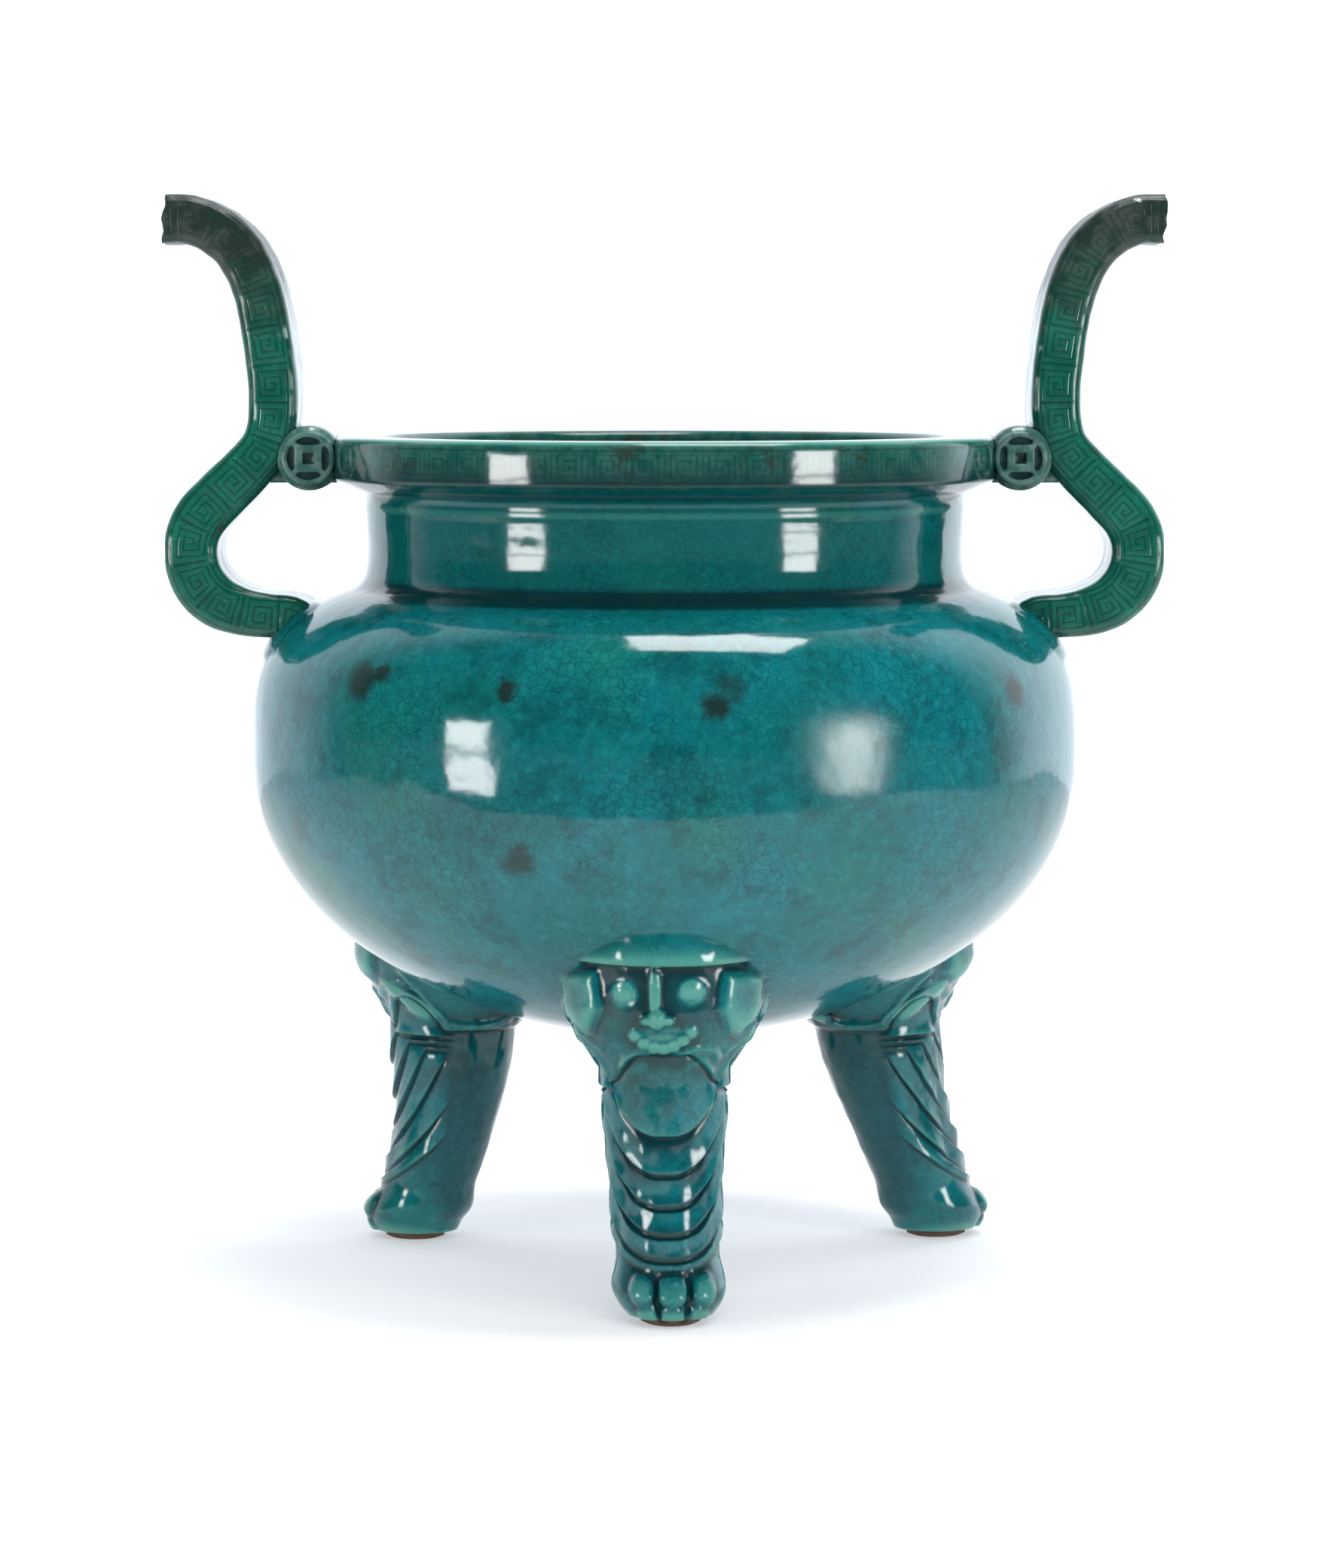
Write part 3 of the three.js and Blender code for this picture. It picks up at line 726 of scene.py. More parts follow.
def carved(level, base, signed):
    """A leg's relief with its mask and toes, and how pale their glaze is."""
    height = level * LEG_HEIGHT
    around = shaft_radius(level)
    arc = np.radians(signed) * around
    masked = (level > mane_level(np.abs(signed))) & (level < BROW_LEVEL)
    hollows = hollow_at(np.abs(signed - FACE_TURN), height, SOCKET) + hollow_at(signed, height, MOUTH)
    relief = base - np.where(masked, hollows, 0)
    raised = relief.copy()
    pale = np.zeros_like(raised)
    for x, z, *rest in leg_swellings():
        middle_arc = math.radians(x) * radius_at(z)
        bump = oval(arc, height, middle_arc, z, *rest)
        raised = np.maximum(raised, relief + bump)
        pale = np.maximum(pale, bump / rest[2])
        if abs(x) > BACK_TURN:
            wrapped = arc + math.copysign(2 * math.pi, x) * around
            raised = np.maximum(raised, relief + oval(wrapped, height, middle_arc, z, *rest))
    for corners, rise, edge in PLATEAUS:
        bump = plateau(arc, height, corners, rise, edge)
        raised = np.maximum(raised, base + bump)
        pale = np.maximum(pale, bump / rise * (0.75 - 0.45 * smooth(height, 104, 117)))
    ridges = list(RIDGES)
    for side in (-1, 1):
        ridges += [([(side * x, z) for x, z in line], *rest) for line, *rest in BOTH_SIDES_RIDGES]
    for line, half_width, rise in ridges:
        points = [(math.radians(x) * radius_at(z), z) for x, z in line]
        raised = np.maximum(raised, relief + ridge(arc, height, points, half_width, rise))
    for x, z in EYES:
        away = np.hypot(arc - math.radians(x) * radius_at(z), height - z)
        raised -= IRIS_DEPTH * hump((away - 0.55 * EYE_RADIUS) / 0.5)
        pale = np.maximum(pale, 1.3 * (1 - smooth(away, 0.75 * EYE_RADIUS, EYE_RADIUS)))
    for x in TOE_GAPS:
        gap = TOE_GAP_DEPTH * hump((signed - x) / TOE_GAP_WIDTH)
        raised -= gap * smooth(height, 2, 5) * (1 - smooth(height, 17, 20))
    return raised, pale


def leg_pool_and_shade(raised, pale, grooves, signed, height):
    """How thickly the glaze lies on a leg, with painted shade: above 0 in grooves, pooled glaze with painted
    shade under the lips, and in the painted shade on the face, the back of the shaft, the front folds and
    the chest; below 0 on ridges.
    """
    turn = np.abs(signed)
    # Painted shade round the eyes and mouth, on the back of the shaft under the belly, on the front folds
    # and on the chest
    face = hump((signed - FACE_TURN) / 36, (height - 110) / 15, power=4)
    behind = smooth(turn, 75, 130) * (1 - smooth(height, 80, 95))
    folds = (1 - smooth(turn, 45, 75)) * (1 - smooth(height, 58, 72))
    chest = (1 - smooth(turn, 25, 45)) * smooth(height, 64, 70) * (1 - smooth(height, 90, 94))
    shade = face + 1.05 * behind + 0.75 * folds + 0.2 * chest
    on_mask = height > 88
    narrow = blurred(raised, 10) - raised
    broad = blurred(raised, 60) - raised
    return narrow + 0.6 * broad + 0.9 * shade * (1 - pale) - pale * on_mask + 1.3 * grooves


def leg(pose):
    """A leg towards -Y, and how thickly its glaze lies, with painted shade added."""
    spread, sway, bow = pose
    steps = np.arange(1 - LEG_HALF_COLUMNS, LEG_HALF_COLUMNS + 1)
    angle = np.sign(steps) * math.pi * (np.abs(steps) / LEG_HALF_COLUMNS) ** COLUMN_CROWDING
    turn = np.degrees(np.abs(angle))
    level, base, grooves = leg_rows(turn, pose)
    signed = np.broadcast_to(np.degrees(angle), level.shape)
    height = level * LEG_HEIGHT
    raised, pale = carved(level, base, signed)
    slim = SLIMMING * smooth(turn, 75, 150) * (1 - smooth(level, 0.08, 0.5)) * smooth(level, 0, 0.06)
    radius = shaft_radius(level) + raised - slim
    bent = bend(level, bow)
    depth = lerp(SHAFT_DEPTH, 1, smooth(level, KNEE_LEVEL, ROUND_LEVEL))
    x = sway * bent + radius * np.sin(angle)
    y = -LEG_CIRCLE - spread * bent - depth * radius * np.cos(angle)
    rings = np.stack([x, y, height], axis=-1)
    rings[:, :, :2] += 0.12 * ripple(rings, 9, 31)[:, :, None] * smooth(height, 4, 10)[:, :, None]
    rings[0, :, 2] = 0
    pool_and_painted_light = leg_pool_and_shade(raised, pale, grooves, signed, height)
    return loft(rings), np.r_[pool_and_painted_light.reshape(-1), 0, 0]


# Rings of the bowl where the glaze pools or thins, a darker band on the rim's lower edge, and painted shadow
# under the rim: height, half height, least and greatest radius, amount
POOL_AND_SHADE_RINGS = {
    "neck foot": (NECK_FOOT - 1, 3.4, 0, NECK_RADIUS + 12, 2.2),
    "painted shadow under the rim": (RIM_FOOT - 3.4, 1.8, NECK_RADIUS - 2, math.inf, 1.6),
    "rim's lower edge": (RIM_FOOT + 1, 1.8, RIM_RADIUS - 5, math.inf, 1.2),
    "fillet": (FILLET_HEIGHT, 1.5, 0, NECK_RADIUS + 4, -1.1),
}


def bowl_pool_and_painted_light(points):
    """How thickly the glaze lies on the bowl, with painted light: above 0 where it pools, on the rim's lower
    edge and in the painted shadow under the rim; below 0 along the crown, most at its edges, which is thin
    glaze with a painted highlight.
    """
    radius = np.hypot(points[:, 0], points[:, 1])
    height = points[:, 2]
    outer_edge = smooth(radius, RIM_RADIUS - 5, RIM_RADIUS - 2)
    inner_edge = smooth(radius, NECK_RADIUS - 3, NECK_RADIUS - 5)
    # The crown is paler, most at its edges: thin glaze with a painted highlight along the rim's top
    pool_and_painted_light = -1.8 * hump((height - RIM_TOP) / 1.5) * (0.25 + 0.75 * np.maximum(outer_edge, inner_edge))
    for middle, half_height, least, greatest, amount in POOL_AND_SHADE_RINGS.values():
        pool_and_painted_light += amount * hump((height - middle) / half_height) * (radius > least) * (radius < greatest)
    return np.where(radius > NECK_RADIUS - WALL / 2, pool_and_painted_light, 0)


def cut_or_join(target, other, operation):
    modifier = target.modifiers.new(operation, "BOOLEAN")
    modifier.object = other
    modifier.operation = operation
    modifier.solver = "MANIFOLD"


BOWL, LEG, HANDLE, STRUT, PAD = range(5)


def joined(bowl_part, others):
    """The bowl with the other parts luted on and its inside hollowed out."""
    body = mesh_object("censer_glazed", [bowl_part])
    added = [mesh_object("added", parts) for parts in others]
    hollow = mesh_object("hollow", [lathe(hollow_outline())])
    for other in added:
        cut_or_join(body, other, "UNION")
    cut_or_join(body, hollow, "DIFFERENCE")
    bpy.context.view_layer.update()
    mesh = bpy.data.meshes.new_from_object(body.evaluated_get(bpy.context.evaluated_depsgraph_get()))
    body.modifiers.clear()
    body.data = mesh
    mesh.name = "censer_glazed"
    for other in [*added, hollow]:
        bpy.data.objects.remove(other)
    return body


def add_layers(mesh, sources):
    """Keeps vertices in the solid's box, and marks what each is part of and how thick its glaze is, with
    painted light and shade added.

    Each source has points, the kind of part that they belong to, and the glaze's thickness at each, with
    painted light and shade added.
    """
    points, kinds, pools_and_painted_light = zip(*sources)
    kinds = np.repeat(kinds, [len(part) for part in points])
    points = np.vstack(points)
    pools_and_painted_light = np.concatenate(pools_and_painted_light)
    tree = KDTree(len(points))
    for index, point in enumerate(points):
        tree.insert(point, index)
    tree.balance()
    nearest = [tree.find(Vector(vertex.co) / MM)[1] for vertex in mesh.vertices]
    kinds = kinds[nearest]
    where = np.array([vertex.co for vertex in mesh.vertices]) / MM
    where = np.clip(where, np.array(cad_box[0]) / MM, np.array(cad_box[1]) / MM)
    mesh.vertices.foreach_set("co", (where * MM).reshape(-1))
    pool_and_painted_light = np.where(kinds == BOWL, bowl_pool_and_painted_light(where), pools_and_painted_light[nearest])
    coin_away = np.hypot(np.abs(where[:, 0]) - STRUT_REACH, where[:, 2] - STRUT_HEIGHT)
    sunk = STRAP_DEPTH / 2 + ROUNDEL_PROUD - np.abs(where[:, 1])
    in_coin = (kinds == STRUT) & (coin_away < 0.82 * ROUNDEL_RADIUS) & (sunk < 2)
    along, across = strap_place(where)
    layers = {
        "pool_and_painted_light": np.where(in_coin, 1.3 * sunk, pool_and_painted_light),
        "handle": np.isin(kinds, (HANDLE, STRUT)),
        "coin": kinds == STRUT,
        "along": along,
        "across": across,
    }
    for name, values in layers.items():
        layer = mesh.attributes.new(name, "FLOAT", "POINT")
        layer.data.foreach_set("value", values.astype(np.float32))


def build_censer():
    bowl_part = lathe(bowl_outline())
    bowl_part[0][:, :2] *= 1 - 0.0014 * (1 + ripple(bowl_part[0] * [1, 1, 2], 90, 5)[:, None] * 0.6)
    legs, leg_pools_and_shade = zip(*[leg(pose) for pose in LEG_POSES])
    legs = [turned_about_z(part, 120 * number) for number, part in enumerate(legs)]
    straps = [turned_about_z(strap(slant), turn) for turn, slant in ((0, -0.9), (180, 0.9))]
    struts = [turned_about_z(part, turn) for turn in (0, 180) for part in strut()]
    pads = [turned_about_z(luting_pad(), turn) for turn in (0, 180)]
    body = joined(bowl_part, [legs, pads, straps, struts[0::2], struts[1::2]])
    sources = [(bowl_part[0], BOWL, bowl_pool_and_painted_light(bowl_part[0]))]
    sources += [(part[0], LEG, pool_and_painted_light) for part, pool_and_painted_light in zip(legs, leg_pools_and_shade)]
    for kind, parts in ((HANDLE, straps), (STRUT, struts), (PAD, pads)):
        sources += [(part[0], kind, np.zeros(len(part[0]))) for part in parts]
    add_layers(body.data, sources)
    body.data.shade_smooth()
    body.data.set_sharp_from_angle(angle=math.radians(SHARP_ANGLE))
    return body


class Nodes:
    """Fills a node tree. Inputs are sockets, which are linked, or plain values."""

    def __init__(self, owner):
        owner.use_nodes = True
        self.tree = owner.node_tree
        self.tree.nodes.clear()

    def node(self, kind, settings=None, **inputs):
        made = self.tree.nodes.new("ShaderNode" + kind)
        for key, value in (settings or {}).items():
            setattr(made, key, value)
        for key, value in inputs.items():
            socket = made.inputs[int(key[1:]) if key[1:].isdigit() else key.replace("_", " ")]
            if isinstance(value, bpy.types.NodeSocket):
                self.tree.links.new(value, socket)
            else:
                socket.default_value = value
        return made

    def math(self, operation, first, second=0.0):
        return self.node("Math", {"operation": operation}, i0=first, i1=second).outputs[0]

    def times(self, first, second):
        return self.math("MULTIPLY", first, second)

    def step(self, value, low, high, start=0.0, end=1.0):
        """A soft step from start, where the value is low, to end, where it is high."""
        settings = {"interpolation_type": "SMOOTHSTEP"}
        made = self.node("MapRange", settings, i0=value, i1=low, i2=high, i3=start, i4=end)
        return made.outputs[0]

    def mix(self, share, first, second):
        settings = {"data_type": "RGBA"}
        return self.node("Mix", settings, i0=share, i6=first, i7=second).outputs[2]

    def vector(self, operation, first, **others):
        return self.node("VectorMath", {"operation": operation}, i0=first, **others).outputs

    def noise(self, where, scale, detail=2.0, rough=0.5):
        settings = {"Vector": where, "Scale": scale, "Detail": detail, "Roughness": rough}
        return self.node("TexNoise", **settings).outputs["Fac"]

    def patches(self, where, scale, low, high, detail=2.0, rough=0.5, most=1.0):
        """Soft patches, from 0 where a noise is low to the most where it is high."""
        return self.step(self.noise(where, scale, detail, rough), low, high, end=most)

    def surface(self, **inputs):
        shader = self.node("BsdfPrincipled", **inputs)
        self.node("OutputMaterial", Surface=shader.outputs[0])

    def attribute(self, name):
        return self.node("Attribute", {"attribute_name": name}).outputs["Fac"]


def paint(red, green, blue):
    """A colour from screen values of 0 to 255."""
    shares = [value / 255 for value in (red, green, blue)]
    return (*[v / 12.92 if v < 0.04045 else ((v + 0.055) / 1.055) ** 2.4 for v in shares], 1.0)


TEAL = paint(5, 92, 95)
BLUE_TEAL = paint(8, 101, 109)
SEA_GREEN = paint(20, 104, 86)
LIGHT_TEAL = paint(30, 120, 120)
DARK_TEAL = paint(4, 74, 80)
MURK = paint(3, 62, 64)
NECK_TEAL = paint(6, 78, 72)
CRACK = paint(3, 48, 52)
HANDLE_DARK = paint(12, 80, 66)
HANDLE_LIGHT = paint(26, 104, 86)
HANDLE_CRACK = paint(8, 52, 46)
EDGE_BROWN = paint(52, 58, 48)
BURNT_DARK = paint(28, 34, 30)
BURNT_LIGHT = paint(54, 58, 52)
RIM_DARK = paint(18, 68, 58)
RIM_LIGHT = paint(46, 90, 78)
UMBER = paint(44, 42, 32)
FRET_DARK = paint(10, 44, 42)
# Thin glaze; also the painted highlight on the rim's crown
THIN_GLAZE_AND_HIGHLIGHT = paint(84, 154, 138)
COIN_DARK = paint(66, 92, 90)
COIN_LIGHT = paint(104, 130, 126)
# Deep glaze; also painted shade in crevices, under the rim and on the legs
DEEP_GLAZE_AND_SHADE = paint(3, 36, 42)
BROWN_GLAZE = paint(40, 44, 34)
IRON = paint(24, 34, 30)
CHIPPED_BODY = paint(196, 208, 204)
BARE_CLAY = paint(92, 74, 60)


# Iron spots in the glaze: x, y, z and radius in millimetres, and strength
SPOTS = [
    (-104, -103, 222, 12, 0.85),
    (-98, -108, 225, 7, 0.9),
    (-108, -99, 216, 3, 0.5),
    (-53.6, -136.5, 220.9, 6, 0.9),
    (-49.7, -136.7, 162.4, 9.5, 0.8),
    (-46, -139, 168, 2, 0.5),
    (17.7, -146.9, 216.3, 8, 0.9),
    (22, -145.2, 222, 9, 0.55),
    (122.2, -83.1, 217.2, 9.5, 0.85),
    (95, 113, 206, 7.5, 0.85),
    (-40, 144, 186, 6, 0.8),
    (-136, 56, 176, 7, 0.8),
    (30, 141, 222, 5, 0.85),
]

# Chips that show the pale body on a handle's worn end
CHIPS = [(150.5, -22, 382, 2), (154, -22, 384.5, 1.3), (162.5, -22, 387.5, 1.6), (168, -22, 389.5, 1.8)]

# A patch of the belly that has lost some of its gloss: place and radius
DULLED = (61.6, -136.5, 202.3, 42)

# Frets, with lengths in millimetres and the edges of a spiral's groove as shares of its pitch
FRET_PITCH = 2.2
GROOVE_EDGES = (0.24, 0.1)
BORDER_EDGES = (0.6, 0.25)
BORDER_GAP = (0.9, 1.3)
STRAP_FRET_CELL = 13.6
STRAP_FRET_REACH = 7.2
RIM_FRET_CELLS = 58
RIM_FRET_REACH = 5.4
RIM_FRET_MIDDLE = 7

# Where tones begin and are full: heights, and depths from the middle plane or inwards from the rim
NECK_TONE_FOOT = (251, 256)
NECK_TONE_TOP = (290, 286)
RIM_TONE = (286.8, 288.5)
PATINA_TONE = (356, 408)
BARE_TONE = (3.4, 2.2)
EDGE_TONE = (5.5, 8.6)
STRAP_SIDE = (19.5, 21.2)
RIM_FACE = (1.6, 0.8)


def spot(g, place, centre, radius, blur):
    """1 inside a round place and 0 outside it, with a ragged edge."""
    distance = g.vector("DISTANCE", place, i1=centre)["Value"]
    return g.step(g.math("ADD", distance, blur), 0.9 * radius, 0.3 * radius)


def fret(g, along, across, cell, reach):
    """Square spirals that turn to and fro along a band, between two border lines."""
    x = g.math("SUBTRACT", g.math("PINGPONG", along, cell), cell / 2)
    low = g.math("LESS_THAN", across, 0.0)
    x = g.math("ABSOLUTE", g.math("SUBTRACT", x, g.times(low, FRET_PITCH / 2)))
    away = g.math("ABSOLUTE", across)
    turns = g.math("DIVIDE", g.math("MAXIMUM", x, away), FRET_PITCH)
    turns = g.math("ADD", turns, g.times(low, 0.5))
    groove = g.step(g.math("PINGPONG", turns, 0.5), *GROOVE_EDGES)
    groove = g.times(groove, g.step(away, *[reach - gap for gap in BORDER_GAP]))
    border = g.step(g.math("ABSOLUTE", g.math("SUBTRACT", away, reach)), *BORDER_EDGES)
    return g.math("MAXIMUM", groove, border)


def crazing(g, where):
    """Fine cracks, and a tone for each cell between them."""
    warp = g.node("TexNoise", Vector=where, Scale=110.0, Detail=1.0).outputs["Color"]
    warped = g.vector("MULTIPLY_ADD", warp, i1=(0.005,) * 3, i2=where)[0]
    cells = g.node("TexVoronoi", {"feature": "F1"}, Vector=warped, Scale=330.0)
    edges = g.node("TexVoronoi", {"feature": "DISTANCE_TO_EDGE"}, Vector=warped, Scale=330.0)
    crazed = g.step(g.noise(where, 28), 0.36, 0.62, 0.35, 1.0)
    cracks = g.times(g.step(edges.outputs["Distance"], 0.09, 0.0), crazed)
    return cracks, g.node("SeparateColor", Color=cells.outputs["Color"]).outputs[0]


def turquoise(g, where, height, cracks, cell):
    """Turquoise that wanders between bluer and greener, in small cells."""
    teal = g.mix(g.patches(where, 22, 0.35, 0.65, detail=3), TEAL, BLUE_TEAL)
    teal = g.mix(g.patches(where, 17, 0.5, 0.72, detail=4, rough=0.6, most=0.6), teal, SEA_GREEN)
    teal = g.mix(g.patches(where, 260, 0.4, 0.75, detail=3, rough=0.65, most=0.45), teal, LIGHT_TEAL)
    teal = g.mix(g.step(cell, 0.0, 1.0, end=0.3), teal, DARK_TEAL)
    teal = g.mix(g.patches(where, 58, 0.48, 0.66, detail=6, rough=0.75, most=0.62), teal, MURK)
    neck = g.times(g.step(height, *NECK_TONE_FOOT, end=0.55), g.step(height, *NECK_TONE_TOP))
    teal = g.mix(neck, teal, NECK_TEAL)
    return g.mix(g.times(cracks, 0.5), teal, CRACK)


def handle_green(g, where, cracks):
    green = g.mix(g.patches(where, 70, 0.35, 0.7, detail=4, rough=0.65), HANDLE_DARK, HANDLE_LIGHT)
    return g.mix(g.times(cracks, 0.4), green, HANDLE_CRACK)


def rim_colour(g, where, rim, colour):
    rust = g.mix(g.patches(where, 120, 0.38, 0.62, detail=4, rough=0.7), RIM_DARK, RIM_LIGHT)
    colour = g.mix(g.times(rim, 0.8), colour, rust)
    umber = g.patches(where, 62, 0.52, 0.64, detail=6, rough=0.8, most=0.7)
    return g.mix(g.times(rim, umber), colour, UMBER)


def rim_fret_mask(g, axes, rim):
    """The fret round the rim's upright face."""
    flat = g.node("CombineXYZ", X=axes["X"], Y=axes["Y"]).outputs[0]
    outward = g.vector("LENGTH", flat)["Value"]
    face = g.times(g.step(outward, *[RIM_RADIUS - depth for depth in RIM_FACE]), rim)
    around = g.math("ARCTAN2", axes["X"], g.times(axes["Y"], -1.0))
    level = g.math("SUBTRACT", axes["Z"], RIM_FOOT + RIM_FRET_MIDDLE)
    cell = 2 * math.pi * RIM_RADIUS / RIM_FRET_CELLS
    return g.times(fret(g, g.times(around, RIM_RADIUS), level, cell, RIM_FRET_REACH), face)


def glaze_material():
    material = bpy.data.materials.new("turquoise_glaze")
    g = Nodes(material)
    where = g.node("TexCoord").outputs["Object"]
    place = g.vector("SCALE", where, Scale=1 / MM)[0]
    axes = g.node("SeparateXYZ", Vector=place).outputs
    height = axes["Z"]
    pool_and_painted_light = g.attribute("pool_and_painted_light")
    handle = g.attribute("handle")
    coin = g.attribute("coin")
    across = g.attribute("across")
    strap_only = g.math("SUBTRACT", handle, coin)
    cracks, cell = crazing(g, where)
    colour = g.mix(handle, turquoise(g, where, height, cracks, cell), handle_green(g, where, cracks))

    # Brown specks on the handles' edges, and worn ends that are almost black
    speckle = g.patches(where, 150, 0.5, 0.66, detail=4, rough=0.75, most=0.75)
    edge = g.times(g.step(g.math("ABSOLUTE", across), *EDGE_TONE), strap_only)
    colour = g.mix(g.times(edge, speckle), colour, EDGE_BROWN)
    patina_height = g.math("ADD", height, g.times(g.noise(where, 55, 4, 0.7), 60.0))
    patina = g.times(g.step(patina_height, *PATINA_TONE), handle)
    burnt = g.mix(g.patches(where, 160, 0.42, 0.62, detail=3), BURNT_DARK, BURNT_LIGHT)
    colour = g.mix(g.times(patina, 0.92), colour, burnt)

    # Rim, and the frets on it and on both sides of the handles
    rim = g.times(g.step(height, *RIM_TONE), g.math("SUBTRACT", 1.0, handle))
    colour = rim_colour(g, where, rim, colour)
    side = g.times(g.step(g.math("ABSOLUTE", axes["Y"]), *STRAP_SIDE), strap_only)
    strap_fret = g.times(fret(g, g.attribute("along"), across, STRAP_FRET_CELL, STRAP_FRET_REACH), side)
    cut = g.math("MAXIMUM", strap_fret, g.times(rim_fret_mask(g, axes, rim), 0.75))
    colour = g.mix(g.times(cut, 0.55), colour, FRET_DARK)

    # Thin and pale on ridges, also a painted highlight on the rim's crown; deep in grooves, also painted
    # shade in crevices, under the rim and on the legs
    colour = g.mix(g.step(pool_and_painted_light, -0.25, -1.8, end=0.6), colour, THIN_GLAZE_AND_HIGHLIGHT)
    coin_tone = g.mix(g.patches(where, 200, 0.4, 0.6), COIN_DARK, COIN_LIGHT)
    colour = g.mix(g.times(coin, 0.6), colour, coin_tone)
    # Painted shade in crevices and between parts, from ambient occlusion, where the glaze also pools
    nook = g.node("AmbientOcclusion", {"samples": 1, "only_local": True}, Distance=0.006)
    crevice_shade = g.step(nook.outputs["AO"], 0.62, 0.2, end=0.8)
    deep_and_shaded = g.math("MAXIMUM", g.step(pool_and_painted_light, 0.12, 1.5), crevice_shade)
    colour = g.mix(g.times(deep_and_shaded, 0.88), colour, DEEP_GLAZE_AND_SHADE)
    colour = g.mix(g.step(pool_and_painted_light, 1.3, 2.4, end=0.15), colour, BROWN_GLAZE)

    # Iron spots, chips and the bare clay pads under the feet
    ragged = g.times(g.math("SUBTRACT", g.noise(where, 190, 4, 0.8), 0.5), 10.0)
    iron = 0.0
    for *centre, radius, strength in SPOTS:
        iron = g.math("MAXIMUM", g.times(spot(g, place, centre, radius, ragged), strength), iron)
    colour = g.mix(iron, colour, IRON)
    chipped = 0.0
    for *centre, radius in CHIPS:
        chipped = g.math("MAXIMUM", spot(g, place, centre, radius, ragged), chipped)
    colour = g.mix(chipped, colour, CHIPPED_BODY)
    bare = g.step(height, *BARE_TONE)
    colour = g.mix(bare, colour, BARE_CLAY)

    # Gloss, and the soft waves of a thick glaze
    *centre, radius = DULLED
    dull = g.math("MAXIMUM", bare, g.times(patina, 0.45))
    dull = g.math("MAXIMUM", dull, g.times(spot(g, place, centre, radius, ragged), 0.3))
    swell = g.math("ADD", g.times(g.noise(where, 30), 0.9), g.times(g.noise(where, 75), 0.4))
    swell = g.math("SUBTRACT", swell, g.times(strap_fret, 0.2))
    bevel = g.node("Bevel", {"samples": 2}, Radius=0.0011).outputs["Normal"]
    bump = g.node("Bump", Strength=0.35, Distance=0.0012, Height=swell, Normal=bevel)
    rough = g.step(dull, 0.0, 1.0, 0.09, 0.7)
    g.surface(Base_Color=colour, Roughness=rough, IOR=1.43, Normal=bump.outputs[0])
    return material


def backdrop():
    """A white floor that glows softly, so that the shadows on it stay pale."""
    near = -0.6
    far = 1.2
    wide = 1.6
    mesh = bpy.data.meshes.new("floor")
    corners = [(-wide, near, 0), (wide, near, 0), (wide, far, 0), (-wide, far, 0)]
    mesh.from_pydata(corners, [], [(0, 1, 2, 3)])
    material = bpy.data.materials.new("white_floor")
    g = Nodes(material)
    g.surface(
        Base_Color=(0.68, 0.68, 0.68, 1),
        Roughness=0.7,
        Specular_IOR_Level=0.0,
        Emission_Color=(0.95, 0.95, 1, 1),
        Emission_Strength=0.4,
    )
    mesh.materials.append(material)
    placed("floor", mesh)


def area_light(name, azimuth, elevation, distance, width, height, power, shown=True, aim=(0, 0, 0.2)):
    """A soft box that faces the object. Azimuth 0 is towards the camera, and 90 to its right."""
    light = bpy.data.lights.new(name, "AREA")
    light.shape = "RECTANGLE"
    light.size = width
    light.size_y = height
    light.energy = power
    made = placed(name, light)
    turn = math.radians(azimuth)
    rise = math.radians(elevation)
    away = Vector((math.sin(turn) * math.cos(rise), -math.cos(turn) * math.cos(rise), math.sin(rise)))
    made.location = Vector(aim) + away * distance
    made.rotation_euler = away.to_track_quat("Z", "Y").to_euler()
    made.visible_glossy = shown
    made.visible_camera = False


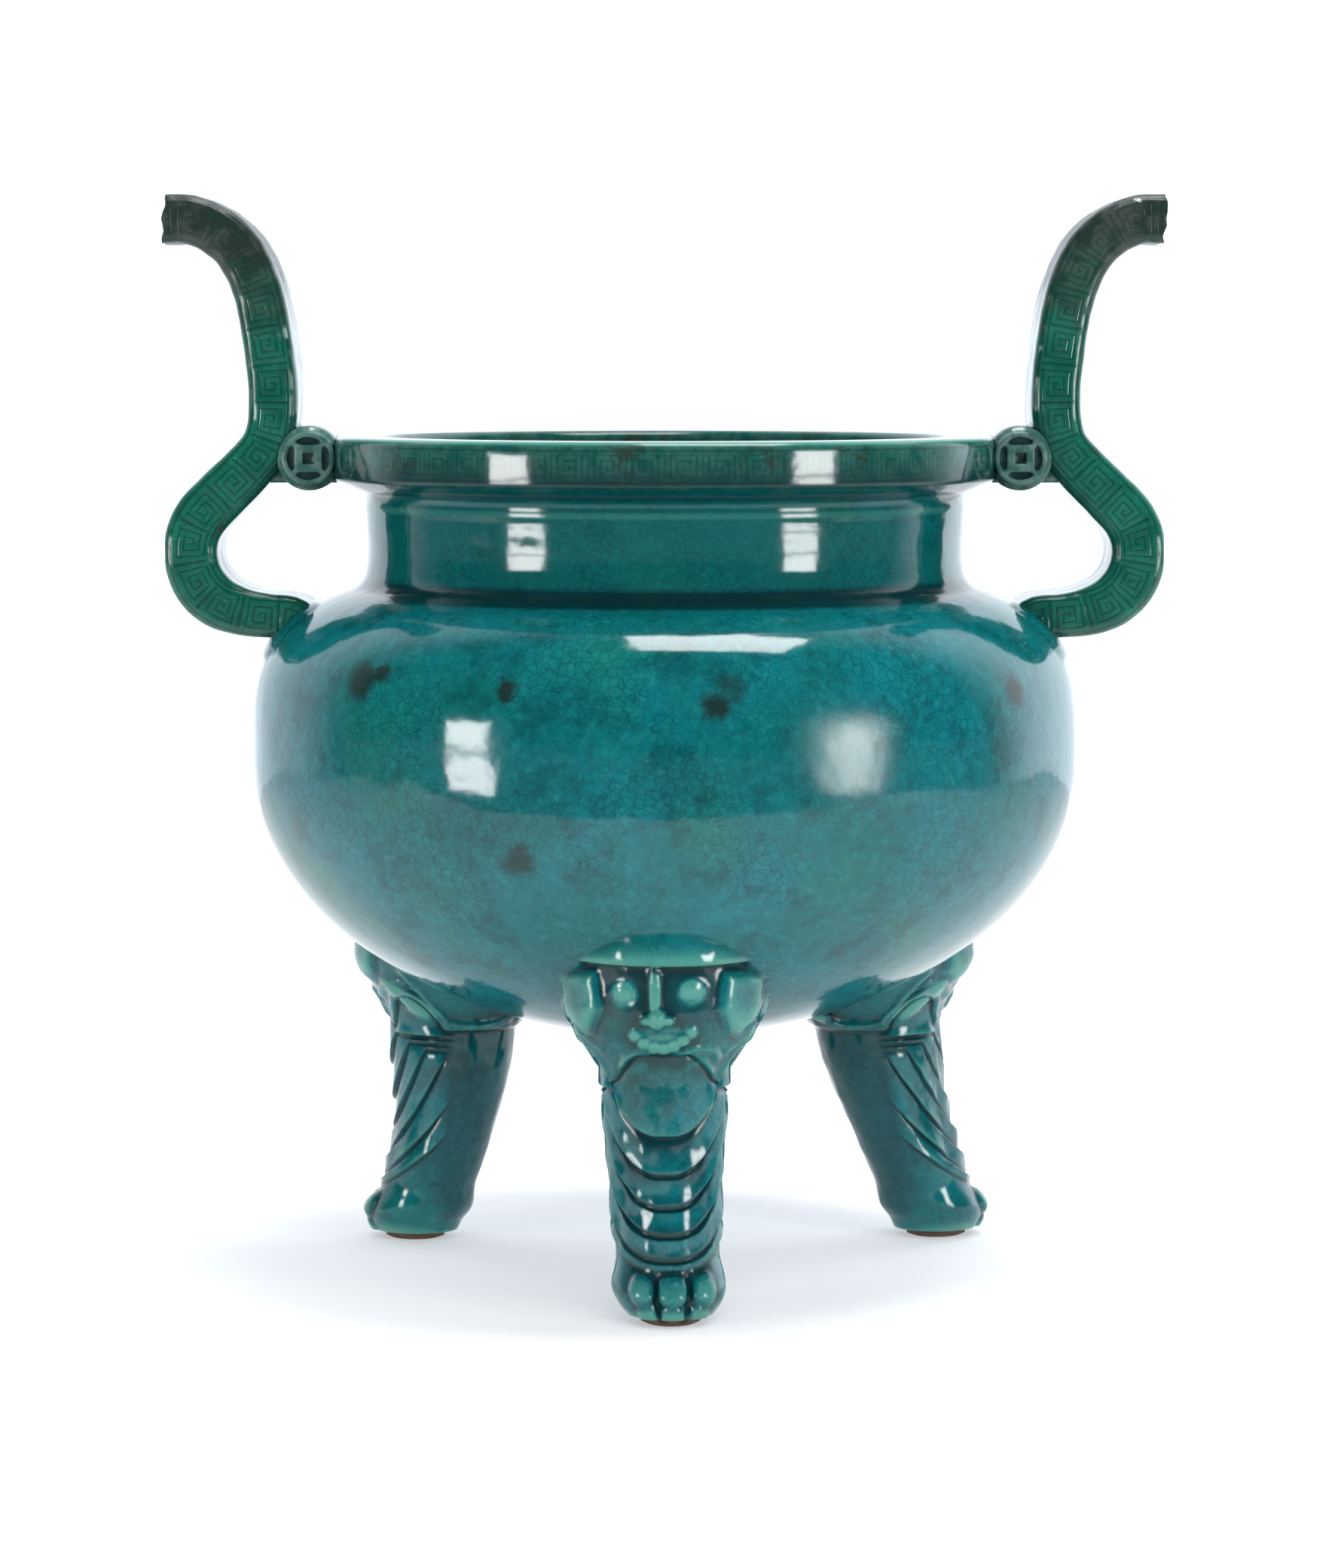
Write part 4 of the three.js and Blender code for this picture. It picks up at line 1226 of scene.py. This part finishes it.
def room_light():
    """A room that is dark in front and bright behind and to the right, and that the camera sees as white."""
    dark_front = 0.07
    bright_back = 1.5
    right_gain = 1.7
    floor_glow = 0.3
    seen_white = 1.3
    world = bpy.data.worlds.new("studio")
    bpy.context.scene.world = world
    g = Nodes(world)
    direction = g.node("TexCoord").outputs["Generated"]
    axes = g.node("SeparateXYZ", Vector=direction).outputs
    behind = g.step(axes["Y"], 0.05, 0.6, dark_front, bright_back)
    right = g.step(axes["X"], 0.2, 0.9, 1.0, right_gain)
    under = g.step(axes["Z"], 0.0, -0.03, end=floor_glow)
    room = g.math("MAXIMUM", g.times(behind, right), under)
    seen = g.times(g.node("LightPath").outputs["Is Camera Ray"], seen_white)
    level = g.math("MAXIMUM", room, seen)
    sky = g.node("Background", Color=(0.9, 0.97, 1.06, 1), Strength=level)
    g.node("OutputWorld", Surface=sky.outputs[0])


def studio():
    room_light()
    box = {"distance": 1.6, "width": 0.38}
    for side, azimuth in (("left", -52), ("right", 51)):
        area_light(f"{side}_box", azimuth, elevation=3.2, height=0.3, power=8, **box)
        area_light(f"{side}_low_box", azimuth, elevation=0, height=0.11, power=2.9, aim=(0, 0, 0.06), **box)
    above = {"azimuth": 0, "elevation": 90, "distance": 1.5, "aim": (0.24, -0.05, 0.24)}
    area_light("top_box", width=0.75, height=0.55, power=20, **above)
    front = {"azimuth": 14, "elevation": 38, "distance": 2.4, "shown": False}
    area_light("front_fill", width=2.2, height=1.6, power=27, **front)
    top = {"azimuth": 0, "elevation": 84, "distance": 2.2, "shown": False}
    area_light("top_fill", width=2.6, height=2.6, power=14, **top)


def camera():
    tilt = 5.08
    data = bpy.data.cameras.new("camera")
    data.sensor_fit = "VERTICAL"
    data.sensor_height = 36
    data.lens = 114.3
    data.clip_end = 50
    made = placed("camera", data)
    made.location = (0, -1.8134, 0.3381)
    made.rotation_euler = (math.radians(90 - tilt), 0, 0)
    bpy.context.scene.camera = made


censer = build_censer()
censer.data.materials.clear()
censer.data.materials.append(glaze_material())
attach(censer, "root")
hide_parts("censer")
backdrop()
studio()
camera()
bpy.context.scene.view_settings.view_transform = "Standard"

triangles = sum(len(face.vertices) - 2 for face in censer.data.polygons)
print("triangles", triangles)
